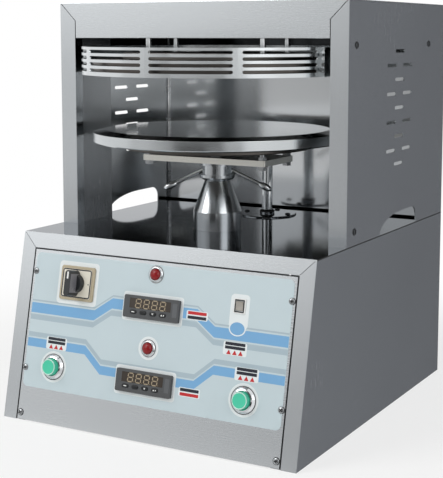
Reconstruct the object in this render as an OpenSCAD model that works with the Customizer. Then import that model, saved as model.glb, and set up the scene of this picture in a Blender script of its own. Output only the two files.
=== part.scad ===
// Electric press that flattens a ball of pizza dough between two heated plates.
// A cam under the deck lifts the lower plate against the fixed upper plate in the hood.

/* [Body] */
// Width of the base and the hood
body_w = 425; // [415:1:470]
// Depth of the base, from its front foot to its back
body_d = 488; // [480:1:540]
// Height of the hood's roof
body_h = 540; // [536:1:600]
// Height of the deck on top of the base
deck_h = 239; // [236:1:262]
// How far the control panel leans back over the height of the base
front_run = 52; // [40:1:60]
// Distance from the front foot to the hood's front
hood_setback = 137; // [132:1:144]
// Distance from the front foot to the inner back wall
back_setback = 412; // [404:1:430]
// Gap under the inner back wall
back_gap = 3; // [2:0.5:5]
// Thickness of the sheet steel
sheet = 1.5; // [1.2:0.1:2]
// Open seam between neighbouring sheets
seam = 0.8; // [0.3:0.1:0.9]
// Thickness of the floor of the base
floor_t = 2; // [1.5:0.5:3]

/* [Front frame] */
// Width of the folded strips round the control panel
frame_w = 20; // [17:1:23]
// Open gap round the control panel
panel_gap = 2; // [1:0.1:2.4]
// Width of the ledge that the control panel is screwed to
ledge_w = 14; // [12:1:18]
// Width of the hood's front posts
post_w = 24; // [22:1:27]
// Depth of the fold inside each post and under the lintel
post_fold = 16; // [12:1:18]
// Height of the lintel over the opening
lintel_h = 47; // [42:1:52]

/* [Hood sides] */
// Rows of air slots in each side
vent_rows = 9; // [5:2:11]
// Height of one row over the next
vent_pitch = 18.6; // [16:0.2:20]
// Length of an air slot
vent_l = 33; // [24:1:40]
// Width of an air slot
vent_w = 4.6; // [3:0.2:6]
// Distance between the two slots of a pair
vent_pair = 57; // [50:1:64]
// Height of the lowest slot over the deck
vent_rise = 88.5; // [70:0.5:100]
// Distance of the slots behind the hood's front
vent_back = 172; // [150:1:190]
// Length of the sweeping-out notch at the foot of each side
notch_l = 135; // [110:1:150]
// Height of the notch
notch_h = 23.5; // [18:0.5:28]
// Distance of the notch's front tip behind the hood's front
notch_back = 108; // [98:1:120]
// Width of the folds that the rear cover is screwed to
rear_fold = 16; // [12:1:22]
// Rows in each block of air slots in the rear cover
rear_vent_rows = 4; // [2:1:5]
// Slots in each of those rows
rear_vent_count = 5; // [3:1:6]
// Space between neighbouring slots of a row
rear_vent_gap = 14; // [10:1:20]
// Height of the lower block of slots
rear_vent_low = 120; // [100:1:130]
// Height of the upper block of slots
rear_vent_high = 400; // [380:1:420]
// Radius of the notch's rear corner
notch_r = 16; // [10:1:17]

/* [Press frame] */
// Distance from the front foot to the press axis
press_setback = 195; // [190:1:200]
// Depth of the uprights that tie the top beam to the bed
upright_d = 80; // [76:1:90]
// Thickness of the uprights
upright_t = 2.5; // [2:0.5:4]
// Distance of the uprights behind the hood's front
upright_back = 7; // [5:1:10]
// Width of the lip by which an upright is screwed to the side
upright_lip = 24; // [22:1:28]
// Distance from the roof down to the top beam's underside
beam_drop = 40; // [36:1:42]
// Width of the top beam
beam_w = 100; // [94:1:110]
// Height of the top beam's flanges
beam_h = 32; // [24:1:33]
// Thickness of the top beam
beam_t = 5; // [4:0.5:6]
// Thickness of the bed under the deck
bed_t = 10; // [8:1:12]
// Depth of the bed
bed_w = 122; // [118:1:130]
// Thickness of the bed's legs
leg_t = 6; // [5:1:8]
// Distance of the legs from the middle
leg_x = 160; // [155:1:180]
// Depth of the legs
leg_w = 100; // [80:1:110]

/* [Plates] */
// Diameter of the pressing plates
plate_d = 330; // [316:1:338]
// Thickness of the lower plate
lower_t = 17; // [14:1:20]
// Thickness of the upper plate
upper_t = 16; // [14:1:20]
// Chamfer on the plates' edges
plate_chamfer = 1.5; // [1:0.5:3]
// Width of the bevel round the lower plate that leaves the pizza a thicker border
bevel_w = 17; // [10:1:24]
// Height of that bevel
bevel_h = 3.5; // [2:0.5:5]
// Diameter of the heaters behind the plates
heater_d = 250; // [230:5:290]
// Thickness of the heaters
heater_t = 8; // [6:1:9]
// Travel of the lower plate
stroke = 70; // [62:1:73]
// Travel of the thickness setting
set_travel = 5; // [3:0.5:6]
// Gap between the closed plates at the thinnest setting
closed_gap = 0.8; // [0.5:0.1:2]
// Diameter of the studs that carry the plates
stud_d = 8; // [6:1:10]
// Distance between the studs from side to side
stud_x = 171; // [150:1:174]
// Distance between the studs from front to back
stud_y = 70; // [60:1:70]
// Depth of the studs in the plates
stud_sunk = 9; // [6:1:11]

/* [Guard] */
// Outer radius of the guard round the upper plate
guard_r = 178.5; // [174:0.5:182]
// Height of the guard
guard_h = 36; // [35:0.5:40]
// Thickness of the guard's sheet
guard_t = 1.5; // [1:0.1:2]
// How far the guard hangs below the upper plate
guard_drop = 3.5; // [1:0.1:3.6]
// Half angle of the slotted front arc
guard_half = 74; // [66:1:76]
// Slots along the front arc
guard_slots = 4; // [3:1:6]
// Rows of slots
guard_rows = 4; // [2:1:4]
// Height of a slot
guard_slot_h = 4.2; // [2.6:0.2:5]
// Width of the bridges between slots
guard_bridge = 11; // [8:1:16]
// Height of one row over the next
guard_pitch = 7.8; // [6.5:0.1:8.2]
// How far the rows sit above the guard's middle
guard_rows_up = 0.8; // [0:0.1:1.2]
// Width of the tabs that join the two arcs
guard_tab = 8; // [5:1:8]
// Diameter of the bosses that hold the guard off the uprights
guard_boss_d = 16; // [10:1:24]

/* [Column] */
// Diameter of the lifting ram
ram_d = 65; // [60:1:68]
// Height of the ram over the deck when down
ram_show = 24.5; // [15:0.5:30]
// Height of the cone on the ram
cone_h = 41; // [35:1:50]
// Diameter at the top of the cone
cone_d = 34; // [32:1:38]
// Diameter of the threaded spindle on the ram
spindle_d = 24; // [20:1:26]
// Length of the spindle over the bracket
spindle_over = 4; // [3:0.5:5]
// Height of the setting collar
collar_h = 25.3; // [22:0.1:30]
// Diameter of the collar's barrel
collar_d = 41; // [38:1:46]
// Diameter of the collar's two rims
collar_rim_d = 48; // [47:1:54]
// Height of each rim
collar_rim_h = 5; // [3:0.5:6]
// Gap where flat faces slide on each other
thrust_gap = 0.3; // [0.2:0.1:0.5]
// Running clearance of shafts and rods, on the radius
run_fit = 0.05; // [0.02:0.01:0.09]
// Diameter of the two handle rods
handle_d = 5.5; // [4:0.5:6]
// Radius at the tip of the handles
handle_reach = 73; // [60:1:90]
// Angle of the handles below level
handle_drop = 26; // [15:1:30]
// Angle of the handles about the column
handle_turn = 22; // [0:1:45]
// Length of the handle grips
grip_l = 21; // [14:1:24]
// Diameter of the handle grips
grip_d = 9.4; // [7:0.2:10]
// Width of the bracket under the lower plate
bracket_w = 184; // [182:1:200]
// Depth of the bracket
bracket_d = 82; // [82:1:100]
// Thickness of the bracket
bracket_t = 8; // [6:1:10]
// Open height between the bracket and the lower plate
bracket_gap = 18.6; // [16:0.2:24]

/* [Guide rod] */
// Diameter of the rod that stops the plate turning
rod_d = 15; // [12:1:16]
// Distance of the rod behind the column
rod_back = 147; // [140:1:150]
// Length of the rod below the deck
rod_below = 125; // [118:1:140]
// Diameter of the flange on the deck
flange_d = 84; // [76:1:96]
// Thickness of the flange
flange_t = 2; // [1.5:0.5:4]
// Radius of the flange's screw circle
flange_screw_r = 33; // [28:1:34]
// Outer diameter of the guide sleeve
sleeve_d = 26; // [22:1:30]
// Length of the guide sleeve below the deck
sleeve_l = 40; // [30:1:44]
// Diameter of the wiper ring on the flange
wiper_d = 21; // [19:1:24]
// Height of the wiper ring
wiper_h = 4; // [3:0.5:6]

/* [Drive] */
// Radius of the cam's lowest point
cam_r = 25; // [22:1:26]
// Thickness of the cam
cam_t = 12; // [10:1:14]
// Angle through which the cam turns to lift the plate
cam_angle = 180; // [150:5:200]
// Diameter of the roller that runs on the cam
roller_d = 30; // [26:1:32]
// Width of the roller
roller_w = 14; // [12:1:16]
// Diameter of the roller's pin
pin_d = 10; // [8:1:12]
// Diameter of the cam's shaft
shaft_d = 25; // [20:1:28]
// Gap between the cam and the roller, and under the cam
cam_gap = 0.3; // [0.2:0.1:0.5]
// Outer diameter of the ram's guide bush
bush_d = 86; // [80:1:96]
// Diameter of the bush's flange
bush_flange_d = 112; // [106:1:116]
// Diameter of the motor
motor_d = 100; // [90:1:106]
// Length of the motor
motor_l = 165; // [120:1:175]
// Distance of the gearbox from the middle
gearbox_x = 46; // [40:1:54]
// Width of the gearbox
gearbox_w = 78; // [70:1:84]
// Radius of the gearbox's wheel case
gearbox_r = 52; // [46:1:54]

/* [Control panel] */
// Thickness of the printed overlay
overlay_t = 0.4; // [0.3:0.1:0.8]
// Bare strip left and right of the overlay
overlay_side = 25; // [23:0.5:29]
// Height of the overlay
overlay_h = 175; // [174:1:177]
// Height of the overlay's lower edge up the slope
overlay_v = 44; // [43:1:45]
// Corner radius of the overlay
overlay_r = 7; // [3:1:12]
// Distance of the panel screws from the body's sides
panel_screw_x = 26.5; // [25.5:0.5:29]
// Clearance round the controls
control_fit = 0.3; // [0.2:0.1:0.5]
// Sideways place of the two controllers and the lamps
display_u = -2; // [-6:1:6]
// Width of a controller
display_w = 80; // [76:1:84]
// Height of a controller
display_h = 28; // [27:0.5:30]
// How far a controller stands out
display_t = 5; // [4:0.5:6]
// Depth of a controller behind the panel
display_depth = 50; // [40:1:60]
// Travel of a controller key
key_travel = 0.5; // [0.3:0.1:0.8]
// Length of a controller key
key_l = 9.5; // [8:0.5:11]
// Width of a controller key
key_w = 4.6; // [3.6:0.2:5]
// Diameter of a lamp's rim
lamp_d = 21; // [17:1:24]
// Diameter of a lamp's lens
lamp_lens_d = 14; // [10:1:15]
// Diameter of a push button's rim
button_rim_d = 32; // [30:1:36]
// Diameter of a push button's cap
button_d = 21; // [17:0.5:22]
// Travel of a push button
button_travel = 4; // [3:0.5:5]
// Width of the main switch's base
switch_w = 52; // [46:1:56]
// Height of the main switch's base
switch_h = 44; // [42:1:48]
// Length of the main switch's bar
switch_bar_l = 33; // [26:1:36]
// Width of the main switch's bar
switch_bar_w = 9; // [7:1:12]
// Height of the main switch's bar
switch_bar_h = 14; // [10:1:18]
// Radius of the rocker about its pivot
rocker_r = 6; // [5:0.5:6.5]
// Width of the rocker
rocker_w = 9.6; // [8:0.2:11]
// Half of the rocker's swing
rocker_tilt = 8; // [5:1:10]

/* [Screws and gland] */
// Radius of the sheet-metal screws' heads
screw_head_r = 3.8; // [3.2:0.1:4.4]
// Radius of the sheet-metal screws
screw_r = 2; // [1.6:0.1:2.4]
// Bore of the cable gland
gland_bore = 9; // [6:0.5:12]
// Diameter of the cable gland's thread
gland_d = 20; // [18:1:24]

/* [Hidden] */
$fn = 72;
half_w = body_w / 2;
front_y = -body_d / 2;
rear_y = body_d / 2;
hood_y = front_y + hood_setback;
back_y = front_y + back_setback;
press_y = front_y + press_setback;
slope = sqrt(pow(front_run, 2) + pow(deck_h, 2));
lean = atan(front_run / deck_h);
inner_w = half_w - sheet;

// Heights of the stack that carries the lower plate
ram_top = deck_h + ram_show;
cone_top = ram_top + cone_h;
collar_z = cone_top + thrust_gap;
bracket_z = collar_z + collar_h + thrust_gap;
plate_z = bracket_z + bracket_t + bracket_gap;
plate_top = plate_z + lower_t;
upper_z = plate_top + stroke + set_travel + closed_gap;
upper_top = upper_z + upper_t;
beam_z = body_h - beam_drop;
bed_z = deck_h - sheet - bed_t;
rod_y = press_y + rod_back;

// Cam drive: the roller's centre moves out evenly with the cam's angle
roller_r = roller_d / 2;
pitch_r = cam_r + roller_r + cam_gap;
cam_top_r = cam_r + stroke;
cam_under = 2.5;
cam_z = floor_t + cam_under + cam_top_r;
roller_z = cam_z + pitch_r;
cam_dwell = 20;
cam_return = 360 - cam_angle - 2 * cam_dwell;
hub_wall = 7;
hub_r = shaft_d / 2 + hub_wall;
hub_side = 12;
hub_half = cam_t / 2 + hub_side;
slot_half = roller_w / 2 + thrust_gap;
foot_below = 12;
ram_foot = roller_z - foot_below;
drive_gap = 2;
slot_top = roller_z + roller_r + drive_gap;
bush_z = cam_z + cam_top_r + drive_gap;
motor_foot = 8;
worm_z = floor_t + motor_foot + motor_d / 2;
gearbox_foot = 12;
bearing_gap = 20;
bearing_x = hub_half + bearing_gap;
bearing_w = 18;

// Places on the control panel, in from the overlay's edges and up the slope
overlay_w = body_w - 2 * overlay_side;
display_v = [73, 164.5];
lamp_v = [115.5, 207];
button_side = [45.5, 51.5];
button_v = [74, 72];
switch_side = 69.5;
switch_v = 184;
rocker_side = 68.5;
rocker_v = 181;
panel_screw_v = [9.5, 68, 194];
panel_foot = 1;
button_u = [-overlay_w / 2 + button_side[0], overlay_w / 2 - button_side[1]];
switch_u = -overlay_w / 2 + switch_side;
rocker_u = overlay_w / 2 - rocker_side;
key_u = [-25, -10.7, 3.6, 17.9];
key_v = -6.6;
window_w = 60;
window_h = 12.5;
window_u = -1.5;
window_v = 4.4;
window_t = 1;

// Screws that hold the hood's sides: along the depth and up from the deck
hood_screw_edge = 7;
hood_screw_rise = 17;
hood_screw_drop = 55;
hood_screw_high = body_h - deck_h - hood_screw_drop;
hood_screw_at = [[upright_back + upright_lip - hood_screw_edge, hood_screw_rise],
                 [upright_back + upright_lip - hood_screw_edge, hood_screw_high],
                 [back_setback - hood_setback + hood_screw_edge, hood_screw_high]];

// Heights of the rear cover's screws
rear_screw_end = 35;
rear_screw_z = [rear_screw_end, deck_h - rear_screw_end, deck_h + rear_screw_end, body_h - rear_screw_end];

// A flat shape in the Y-Z plane, from x0 along +X
module yz_plate(x0, t) {
    translate([x0, 0, 0]) rotate([90, 0, 90]) linear_extrude(t) children();
}

// A flat shape in the X-Z plane, from y0 along +Y
module xz_plate(y0, t) {
    translate([0, y0 + t, 0]) rotate([90, 0, 0]) linear_extrude(t) children();
}

// Place on the leaning front: u across, v up the slope, w out of it
module on_panel(u = 0, v = 0, w = 0) {
    translate([0, front_y, 0]) rotate([90 - lean, 0, 0]) translate([u, v, w]) children();
}

module rounded_plate(w, h, r) {
    square([w - 2 * r, h], center = true);
    square([w, h - 2 * r], center = true);
    for (x = [-1, 1], y = [-1, 1])
        translate([x * (w / 2 - r), y * (h / 2 - r)]) circle(r);
}

module long_hole(l, d) {
    square([l - d, d], center = true);
    for (s = [-1, 1]) translate([s * (l - d) / 2, 0]) circle(d = d);
}

// A shape and its copy on the other side
module both_sides() {
    children();
    mirror([1, 0, 0]) children();
}

module at_studs() {
    for (x = [-1, 1], y = [-1, 1]) translate([x * stud_x / 2, press_y + y * stud_y / 2, 0]) children();
}

// A screw with a low domed head on the plane z = 0, its thread running down
module screw(length) {
    rotate_extrude() polygon([[0, -length], [screw_r, -length], [screw_r, 0], [screw_head_r, 0],
        [screw_head_r, 0.9], [screw_head_r * 0.72, 1.8], [screw_head_r * 0.35, 2.2], [0, 2.2]]);
}

// Base

function lean_y(z) = front_y + front_run * z / deck_h;

module base_side() {
    wall_top = deck_h - sheet;
    difference() {
        union() {
            yz_plate(-half_w, sheet)
                polygon([[lean_y(0), 0], [lean_y(wall_top), wall_top], [rear_y, wall_top], [rear_y, 0]]);
            on_panel(w = -sheet) linear_extrude(sheet)
                polygon([[-half_w, 0], [-half_w, slope], [-half_w + frame_w, slope - frame_w],
                         [-half_w + frame_w, 0]]);
            on_panel(-half_w + frame_w - ledge_w / 2, 0, -2 * sheet)
                cube([ledge_w * 1.5, slope - frame_w - seam, sheet]);
            translate([-half_w, rear_y - 2 * sheet, floor_t]) cube([rear_fold, sheet, wall_top - floor_t]);
        }
        translate([-body_w, -body_d, wall_top]) cube([2 * body_w, 2 * body_d, body_h]);
        translate([-body_w, -body_d, -body_h]) cube([2 * body_w, 2 * body_d, body_h]);
        panel_screw_holes(screw_r + control_fit / 3);
        rear_screw_holes();
    }
}

module at_rear_screws() {
    for (z = rear_screw_z) translate([-half_w + sheet + rear_fold / 2, rear_y, z]) rotate([-90, 0, 0]) children();
}

module rear_screw_holes() {
    at_rear_screws() translate([0, 0, -5]) cylinder(r = screw_r + control_fit / 3, h = 10);
}

module panel_screw_holes(r) {
    for (s = [-1, 1], v = panel_screw_v)
        on_panel(s * (half_w - panel_screw_x), v, -10) cylinder(r = r, h = 20);
}

module base_side_left() {
    color("#85888d") base_side();
}

module base_side_right() {
    color("#85888d") mirror([1, 0, 0]) base_side();
}

module deck() {
    top_ledge = half_w - frame_w - ledge_w - seam;
    color("#9fa3a8") difference() {
        union() {
            yz_plate(-half_w, body_w)
                polygon([[lean_y(deck_h - sheet), deck_h - sheet], [lean_y(deck_h), deck_h],
                         [rear_y, deck_h], [rear_y, deck_h - sheet]]);
            on_panel(w = -sheet) linear_extrude(sheet)
                polygon([[-inner_w + seam, slope], [inner_w - seam, slope], [inner_w - seam, slope - sheet],
                         [half_w - frame_w - seam, slope - frame_w], [-half_w + frame_w + seam, slope - frame_w],
                         [-inner_w + seam, slope - sheet]]);
            on_panel(-top_ledge, slope - frame_w - ledge_w, -2 * sheet)
                cube([2 * top_ledge, ledge_w * 1.5, sheet]);
        }
        translate([-inner_w, rear_y - sheet, 0]) cube([2 * inner_w, 2 * sheet, body_h]);
        translate([0, press_y, deck_h - 5]) cylinder(d = ram_d + 1, h = 10);
        translate([0, rod_y, deck_h - 5]) cylinder(d = sleeve_d + 2 * run_fit, h = 10);
        at_flange_screws() translate([0, 0, -5]) cylinder(r = screw_r + control_fit / 3, h = 10);
        lamp_holes();
    }
}

module at_flange_screws() {
    for (a = [0, 90, 180]) translate([0, rod_y, deck_h]) rotate(a) translate([flange_screw_r, 0, 0]) children();
}

module base_floor() {
    floor_front = front_y + 4 * sheet;
    color("#8b8f94") translate([-inner_w, floor_front, 0])
        cube([2 * inner_w, rear_y - sheet - floor_front, floor_t]);
}

gland_x = -125;
gland_z = 55;

module rear_cover() {
    color("#9a9da2") difference() {
        translate([-inner_w, rear_y - sheet, 0]) cube([2 * inner_w, sheet, body_h - sheet]);
        translate([gland_x, rear_y + 5, gland_z]) rotate([90, 0, 0])
            cylinder(d = gland_d + 2 * control_fit, h = 10 + sheet);
        both_sides() rear_screw_holes();
        rear_vents();
    }
}

// Air slots of the rear cover: one block behind the drive, one behind the upper plate
module rear_vents() {
    for (foot = [rear_vent_low, rear_vent_high], row = [0 : rear_vent_rows - 1], i = [0 : rear_vent_count - 1])
        translate([(i - (rear_vent_count - 1) / 2) * (vent_l + rear_vent_gap), 0, foot + row * vent_pitch])
            xz_plate(rear_y - 2 * sheet, 3 * sheet) long_hole(vent_l, vent_w);
}

module cable_gland() {
    color("#2b2c2e") translate([gland_x, rear_y, gland_z]) rotate([-90, 0, 0]) difference() {
        union() {
            translate([0, 0, -sheet - 10]) cylinder(d = gland_d, h = 14);
            translate([0, 0, -sheet - 6]) cylinder(d = gland_d + 8, h = 6, $fn = 6);
            cylinder(d = gland_d + 8, h = 7, $fn = 6);
            translate([0, 0, 7]) cylinder(d1 = gland_d + 4, d2 = gland_d - 4, h = 11);
        }
        translate([0, 0, -sheet - 11]) cylinder(d = gland_bore, h = 40);
    }
}

// Control panel

module control_panel() {
    edge = half_w - frame_w - panel_gap;
    color("#b4b7bb") difference() {
        on_panel(-edge, panel_foot, -sheet) cube([2 * edge, slope - frame_w - panel_gap - panel_foot, sheet]);
        panel_screw_holes(screw_r + control_fit / 3);
        for (v = display_v) on_panel(display_u, v, -5) linear_extrude(10)
            square([display_w - 4 + 2 * control_fit, display_h - 4 + 2 * control_fit], center = true);
        lamp_holes();
        for (i = [0, 1]) on_panel(button_u[i], button_v[i], -5)
            cylinder(d = button_barrel_d + 2 * control_fit, h = 10);
        on_panel(switch_u, switch_v, -5) cylinder(d = switch_neck_d + 2 * control_fit, h = 10);
        on_panel(rocker_u, rocker_v, -5) linear_extrude(10)
            square([rocker_w + 4 + 2 * control_fit, 2 * rocker_r + 4 + 2 * control_fit], center = true);
    }
}

module lamp_holes() {
    for (v = lamp_v) on_panel(display_u, v, -5) cylinder(d = lamp_lens_d + 2 + 2 * control_fit, h = 10);
}

module panel_overlay() {
    color("#c3d2d7") difference() {
        on_panel(0, overlay_v + overlay_h / 2) linear_extrude(overlay_t)
            rounded_plate(overlay_w, overlay_h, overlay_r);
        panel_screw_holes(screw_head_r + control_fit);
        for (v = display_v) on_panel(display_u, v, -5) linear_extrude(10)
            rounded_plate(display_w + 2 * control_fit, display_h + 2 * control_fit, 2);
        for (v = lamp_v) on_panel(display_u, v, -5) cylinder(d = lamp_d + 2 * control_fit, h = 10);
        for (i = [0, 1]) on_panel(button_u[i], button_v[i], -5)
            cylinder(d = button_rim_d + 2 * control_fit, h = 10);
        on_panel(switch_u, switch_v, -5) linear_extrude(10)
            rounded_plate(switch_w + 2 * control_fit, switch_h + 2 * control_fit, 3);
        on_panel(rocker_u, rocker_v, -5) linear_extrude(10)
            square([rocker_frame_w + 2 * control_fit, rocker_frame_h + 2 * control_fit], center = true);
    }
}

// All the sheet-metal screws: in the control panel, the hood's sides, the rear cover and the guide flange
module sheet_screws() {
    color("#d5d7da") {
        for (s = [-1, 1], v = panel_screw_v)
            on_panel(s * (half_w - panel_screw_x), v) screw(2 * sheet + 5);
        both_sides() for (p = hood_screw_at)
            translate([-half_w, hood_y + p[0], deck_h + p[1]]) rotate([0, -90, 0]) screw(sheet + upright_t + 3);
        both_sides() at_rear_screws() screw(2 * sheet + 4);
        at_flange_screws() translate([0, 0, flange_t]) screw(flange_t + sheet + 5);
    }
}

// Hood

module hood_side() {
    side_d = body_d - hood_setback;
    difference() {
        union() {
            yz_plate(-half_w, sheet) translate([hood_y, deck_h]) square([side_d, body_h - sheet - deck_h]);
            xz_plate(hood_y, sheet)
                polygon([[-half_w, deck_h], [-half_w, body_h], [-half_w + post_w, body_h - post_w],
                         [-half_w + post_w, deck_h]]);
            translate([-half_w + post_w - sheet, hood_y, deck_h])
                cube([sheet, post_fold, body_h - lintel_h - seam - deck_h]);
            translate([-half_w, rear_y - 2 * sheet, deck_h]) cube([rear_fold, sheet, body_h - sheet - deck_h]);
        }
        translate([-body_w, -body_d, body_h - sheet]) cube([2 * body_w, 2 * body_d, body_h]);
        yz_plate(-half_w - 5, sheet + 10) hood_vents();
        yz_plate(-half_w - 5, sheet + 10) notch_outline();
        hood_screw_holes();
        rear_screw_holes();
    }
}

// Rows of one slot and of two slots by turns
module hood_vents() {
    for (row = [0 : vent_rows - 1]) {
        z = deck_h + vent_rise + row * vent_pitch;
        for (side = row % 2 == 0 ? [0] : [-0.5, 0.5])
            translate([hood_y + vent_back + side * vent_pair, z]) long_hole(vent_l, vent_w);
    }
}

// A notch that rises in a long curve from its front tip and drops round a corner at its rear
module notch_outline() {
    tip = hood_y + notch_back;
    crown = tip + notch_l * 0.6;
    corner = tip + notch_l - notch_r;
    front_curve = [for (a = [180 : -6 : 90])
        [crown + (crown - tip) * cos(a), deck_h + notch_h * sin(a)]];
    rear_curve = [for (a = [90 : -10 : 0])
        [corner + notch_r * cos(a), deck_h + notch_h - notch_r + notch_r * sin(a)]];
    polygon(concat([[tip, deck_h - 1]], front_curve, rear_curve, [[tip + notch_l, deck_h - 1]]));
}

module hood_screw_holes() {
    for (p = hood_screw_at) translate([-half_w - 5, hood_y + p[0], deck_h + p[1]]) rotate([0, 90, 0])
        cylinder(r = screw_r + control_fit / 3, h = post_w + 5);
}

module hood_side_left() {
    color("#74777c") hood_side();
}

module hood_side_right() {
    color("#74777c") mirror([1, 0, 0]) hood_side();
}

module hood_roof() {
    inner = half_w - post_w - seam;
    color("#c4c8cb") union() {
        translate([-half_w, hood_y, body_h - sheet]) cube([body_w, body_d - hood_setback, sheet]);
        xz_plate(hood_y, sheet)
            polygon([[-inner_w + seam, body_h], [inner_w - seam, body_h], [inner_w - seam, body_h - sheet],
                     [inner, body_h - post_w], [inner, body_h - lintel_h], [-inner, body_h - lintel_h],
                     [-inner, body_h - post_w], [-inner_w + seam, body_h - sheet]]);
        translate([-inner, hood_y, body_h - lintel_h]) cube([2 * inner, post_fold, sheet]);
    }
}

// Wall behind the plates, with side folds that run back along the hood's sides
module hood_back_wall() {
    fold = 15;
    foot = deck_h + back_gap;
    color("#8c8f94") difference() {
        translate([-inner_w, back_y, foot]) cube([2 * inner_w, fold, body_h - sheet - foot]);
        translate([-inner_w + sheet, back_y + sheet, foot - 1])
            cube([2 * (inner_w - sheet), fold, body_h - foot]);
        both_sides() hood_screw_holes();
    }
}

// Press frame

module uprights() {
    inner = half_w - post_w + sheet + seam;
    y0 = hood_y + upright_back;
    reach = inner_w - inner;
    color("#7d8085") difference() {
        both_sides() translate([0, 0, deck_h]) linear_extrude(beam_z - deck_h) {
            translate([-inner - upright_t, y0]) square([upright_t, upright_d]);
            translate([-inner_w, y0]) square([reach, upright_t]);
            translate([-inner_w, y0 + upright_d - upright_t]) square([reach, upright_t]);
            translate([-inner_w, y0]) square([upright_t, upright_lip]);
            translate([-inner_w, y0 + upright_d - upright_lip]) square([upright_t, upright_lip]);
        }
        both_sides() for (p = hood_screw_at) translate([-half_w, hood_y + p[0], deck_h + p[1]])
            rotate([0, 90, 0]) cylinder(r = screw_r + control_fit / 3, h = post_w / 2);
    }
}

// Upright channel across the hood that the upper plate hangs from
module top_beam() {
    color("#6d7075") difference() {
        translate([-inner_w + seam, press_y - beam_w / 2, beam_z]) cube([2 * (inner_w - seam), beam_w, beam_h]);
        translate([-half_w, press_y - beam_w / 2 + beam_t, beam_z + beam_t])
            cube([body_w, beam_w - 2 * beam_t, beam_h]);
        at_studs() translate([0, 0, beam_z - 1]) cylinder(d = stud_d + 2 * control_fit, h = beam_t + 2);
    }
}

// Bed under the deck on two legs, bored for the ram's bush
module press_bed() {
    color("#5f6267") difference() {
        union() {
            translate([-inner_w + seam, press_y - bed_w / 2, bed_z]) cube([2 * (inner_w - seam), bed_w, bed_t]);
            both_sides() translate([-leg_x - leg_t, press_y - leg_w / 2, floor_t])
                cube([leg_t, leg_w, bed_z - floor_t]);
        }
        translate([0, press_y, bed_z - 1]) cylinder(d = bush_d + 2 * run_fit, h = bed_t + 2);
    }
}

// Plates

module disc(d, t, chamfer) {
    r = d / 2;
    rotate_extrude($fn = 180) polygon([[0, 0], [r - chamfer, 0], [r, chamfer], [r, t - chamfer],
                                       [r - chamfer, t], [0, t]]);
}

module heater(z) {
    difference() {
        translate([0, press_y, z]) disc(heater_d, heater_t, 1);
        at_studs() translate([0, 0, z - 1]) cylinder(d = stud_d + 4, h = heater_t + 2);
    }
}

module upper_plate() {
    color("#a9acb0") difference() {
        translate([0, press_y, upper_z]) disc(plate_d, upper_t, plate_chamfer);
        at_studs() translate([0, 0, upper_top - stud_sunk])
            cylinder(d = stud_d + 2 * run_fit, h = stud_sunk + 1);
    }
}

module upper_heater() {
    color("#55575a") heater(upper_top);
}

// Studs from the upper plate through the beam, with a nut on each side of the beam's web
module upper_studs() {
    top = beam_z + beam_t + stud_d + 4;
    color("#c9cccf") at_studs() {
        translate([0, 0, upper_top - stud_sunk]) cylinder(d = stud_d, h = top - upper_top + stud_sunk);
        translate([0, 0, beam_z - 0.7 * stud_d]) cylinder(d = 1.9 * stud_d, h = 0.7 * stud_d, $fn = 6);
        translate([0, 0, beam_z + beam_t]) cylinder(d = 1.9 * stud_d, h = 0.8 * stud_d, $fn = 6);
    }
}

module lower_plate() {
    r = plate_d / 2;
    color("#a9acb0") difference() {
        translate([0, press_y, plate_z]) rotate_extrude($fn = 180)
            polygon([[0, 0], [r - plate_chamfer, 0], [r, plate_chamfer], [r, lower_t - bevel_h],
                     [r - bevel_w, lower_t], [0, lower_t]]);
        at_studs() translate([0, 0, plate_z - 1]) cylinder(d = stud_d + 2 * run_fit, h = stud_sunk + 1);
        translate([0, rod_y, plate_z - 1]) cylinder(d = rod_d + 2 * run_fit, h = stud_sunk + 1);
    }
}

module lower_heater() {
    color("#55575a") heater(plate_z - heater_t);
}

module bracket() {
    color("#b9bcbf") difference() {
        translate([0, press_y, bracket_z]) linear_extrude(bracket_t) rounded_plate(bracket_w, bracket_d, 2);
        translate([0, press_y, bracket_z - 1]) cylinder(d = spindle_d + 2 * run_fit, h = bracket_t + 2);
        at_studs() translate([0, 0, bracket_z - 1]) cylinder(d = stud_d + 2 * run_fit, h = bracket_t + 2);
    }
}

// Studs from the bracket into the lower plate, with a head below and a nut above the bracket
module lower_studs() {
    color("#c9cccf") at_studs() {
        translate([0, 0, bracket_z]) cylinder(d = stud_d, h = bracket_t + bracket_gap + stud_sunk);
        translate([0, 0, bracket_z - 5]) cylinder(d = 1.5 * stud_d, h = 5, $fn = 6);
        translate([0, 0, bracket_z + bracket_t]) cylinder(d = 1.5 * stud_d, h = 4, $fn = 6);
    }
}

// Guard

// One run of the guard's sheet between two angles, flatter than the hoop where it has a bow
module guard_run(from, sweep, bow) {
    middle = from + sweep / 2;
    run_r = sqrt(pow(guard_r, 2) + pow(bow, 2) + 2 * guard_r * bow * cos(sweep / 2));
    intersection() {
        translate(-bow * [cos(middle), sin(middle)]) difference() {
            circle(run_r, $fn = 180);
            circle(run_r - guard_t, $fn = 180);
        }
        polygon(concat([[0, 0]], [for (i = [0 : 4])
            2 * guard_r * [cos(from + sweep * i / 4), sin(from + sweep * i / 4)]]));
    }
}

// Plan of one arc of the guard, with a joint tab standing out at each end
module guard_plan(from, sweep, runs, bow) {
    first = from + guard_seam_angle;
    span = sweep - 2 * guard_seam_angle;
    intersection() {
        for (i = [0 : runs - 1]) guard_run(from + i * sweep / runs, sweep / runs, bow);
        polygon(concat([[0, 0]], [for (i = [0 : 4])
            2 * guard_r * [cos(first + span * i / 4), sin(first + span * i / 4)]]));
    }
    rotate(from) translate([guard_r - guard_t, seam / 2]) square([guard_t + guard_tab, guard_t]);
    rotate(from + sweep) translate([guard_r - guard_t, -seam / 2 - guard_t])
        square([guard_t + guard_tab, guard_t]);
}

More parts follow.
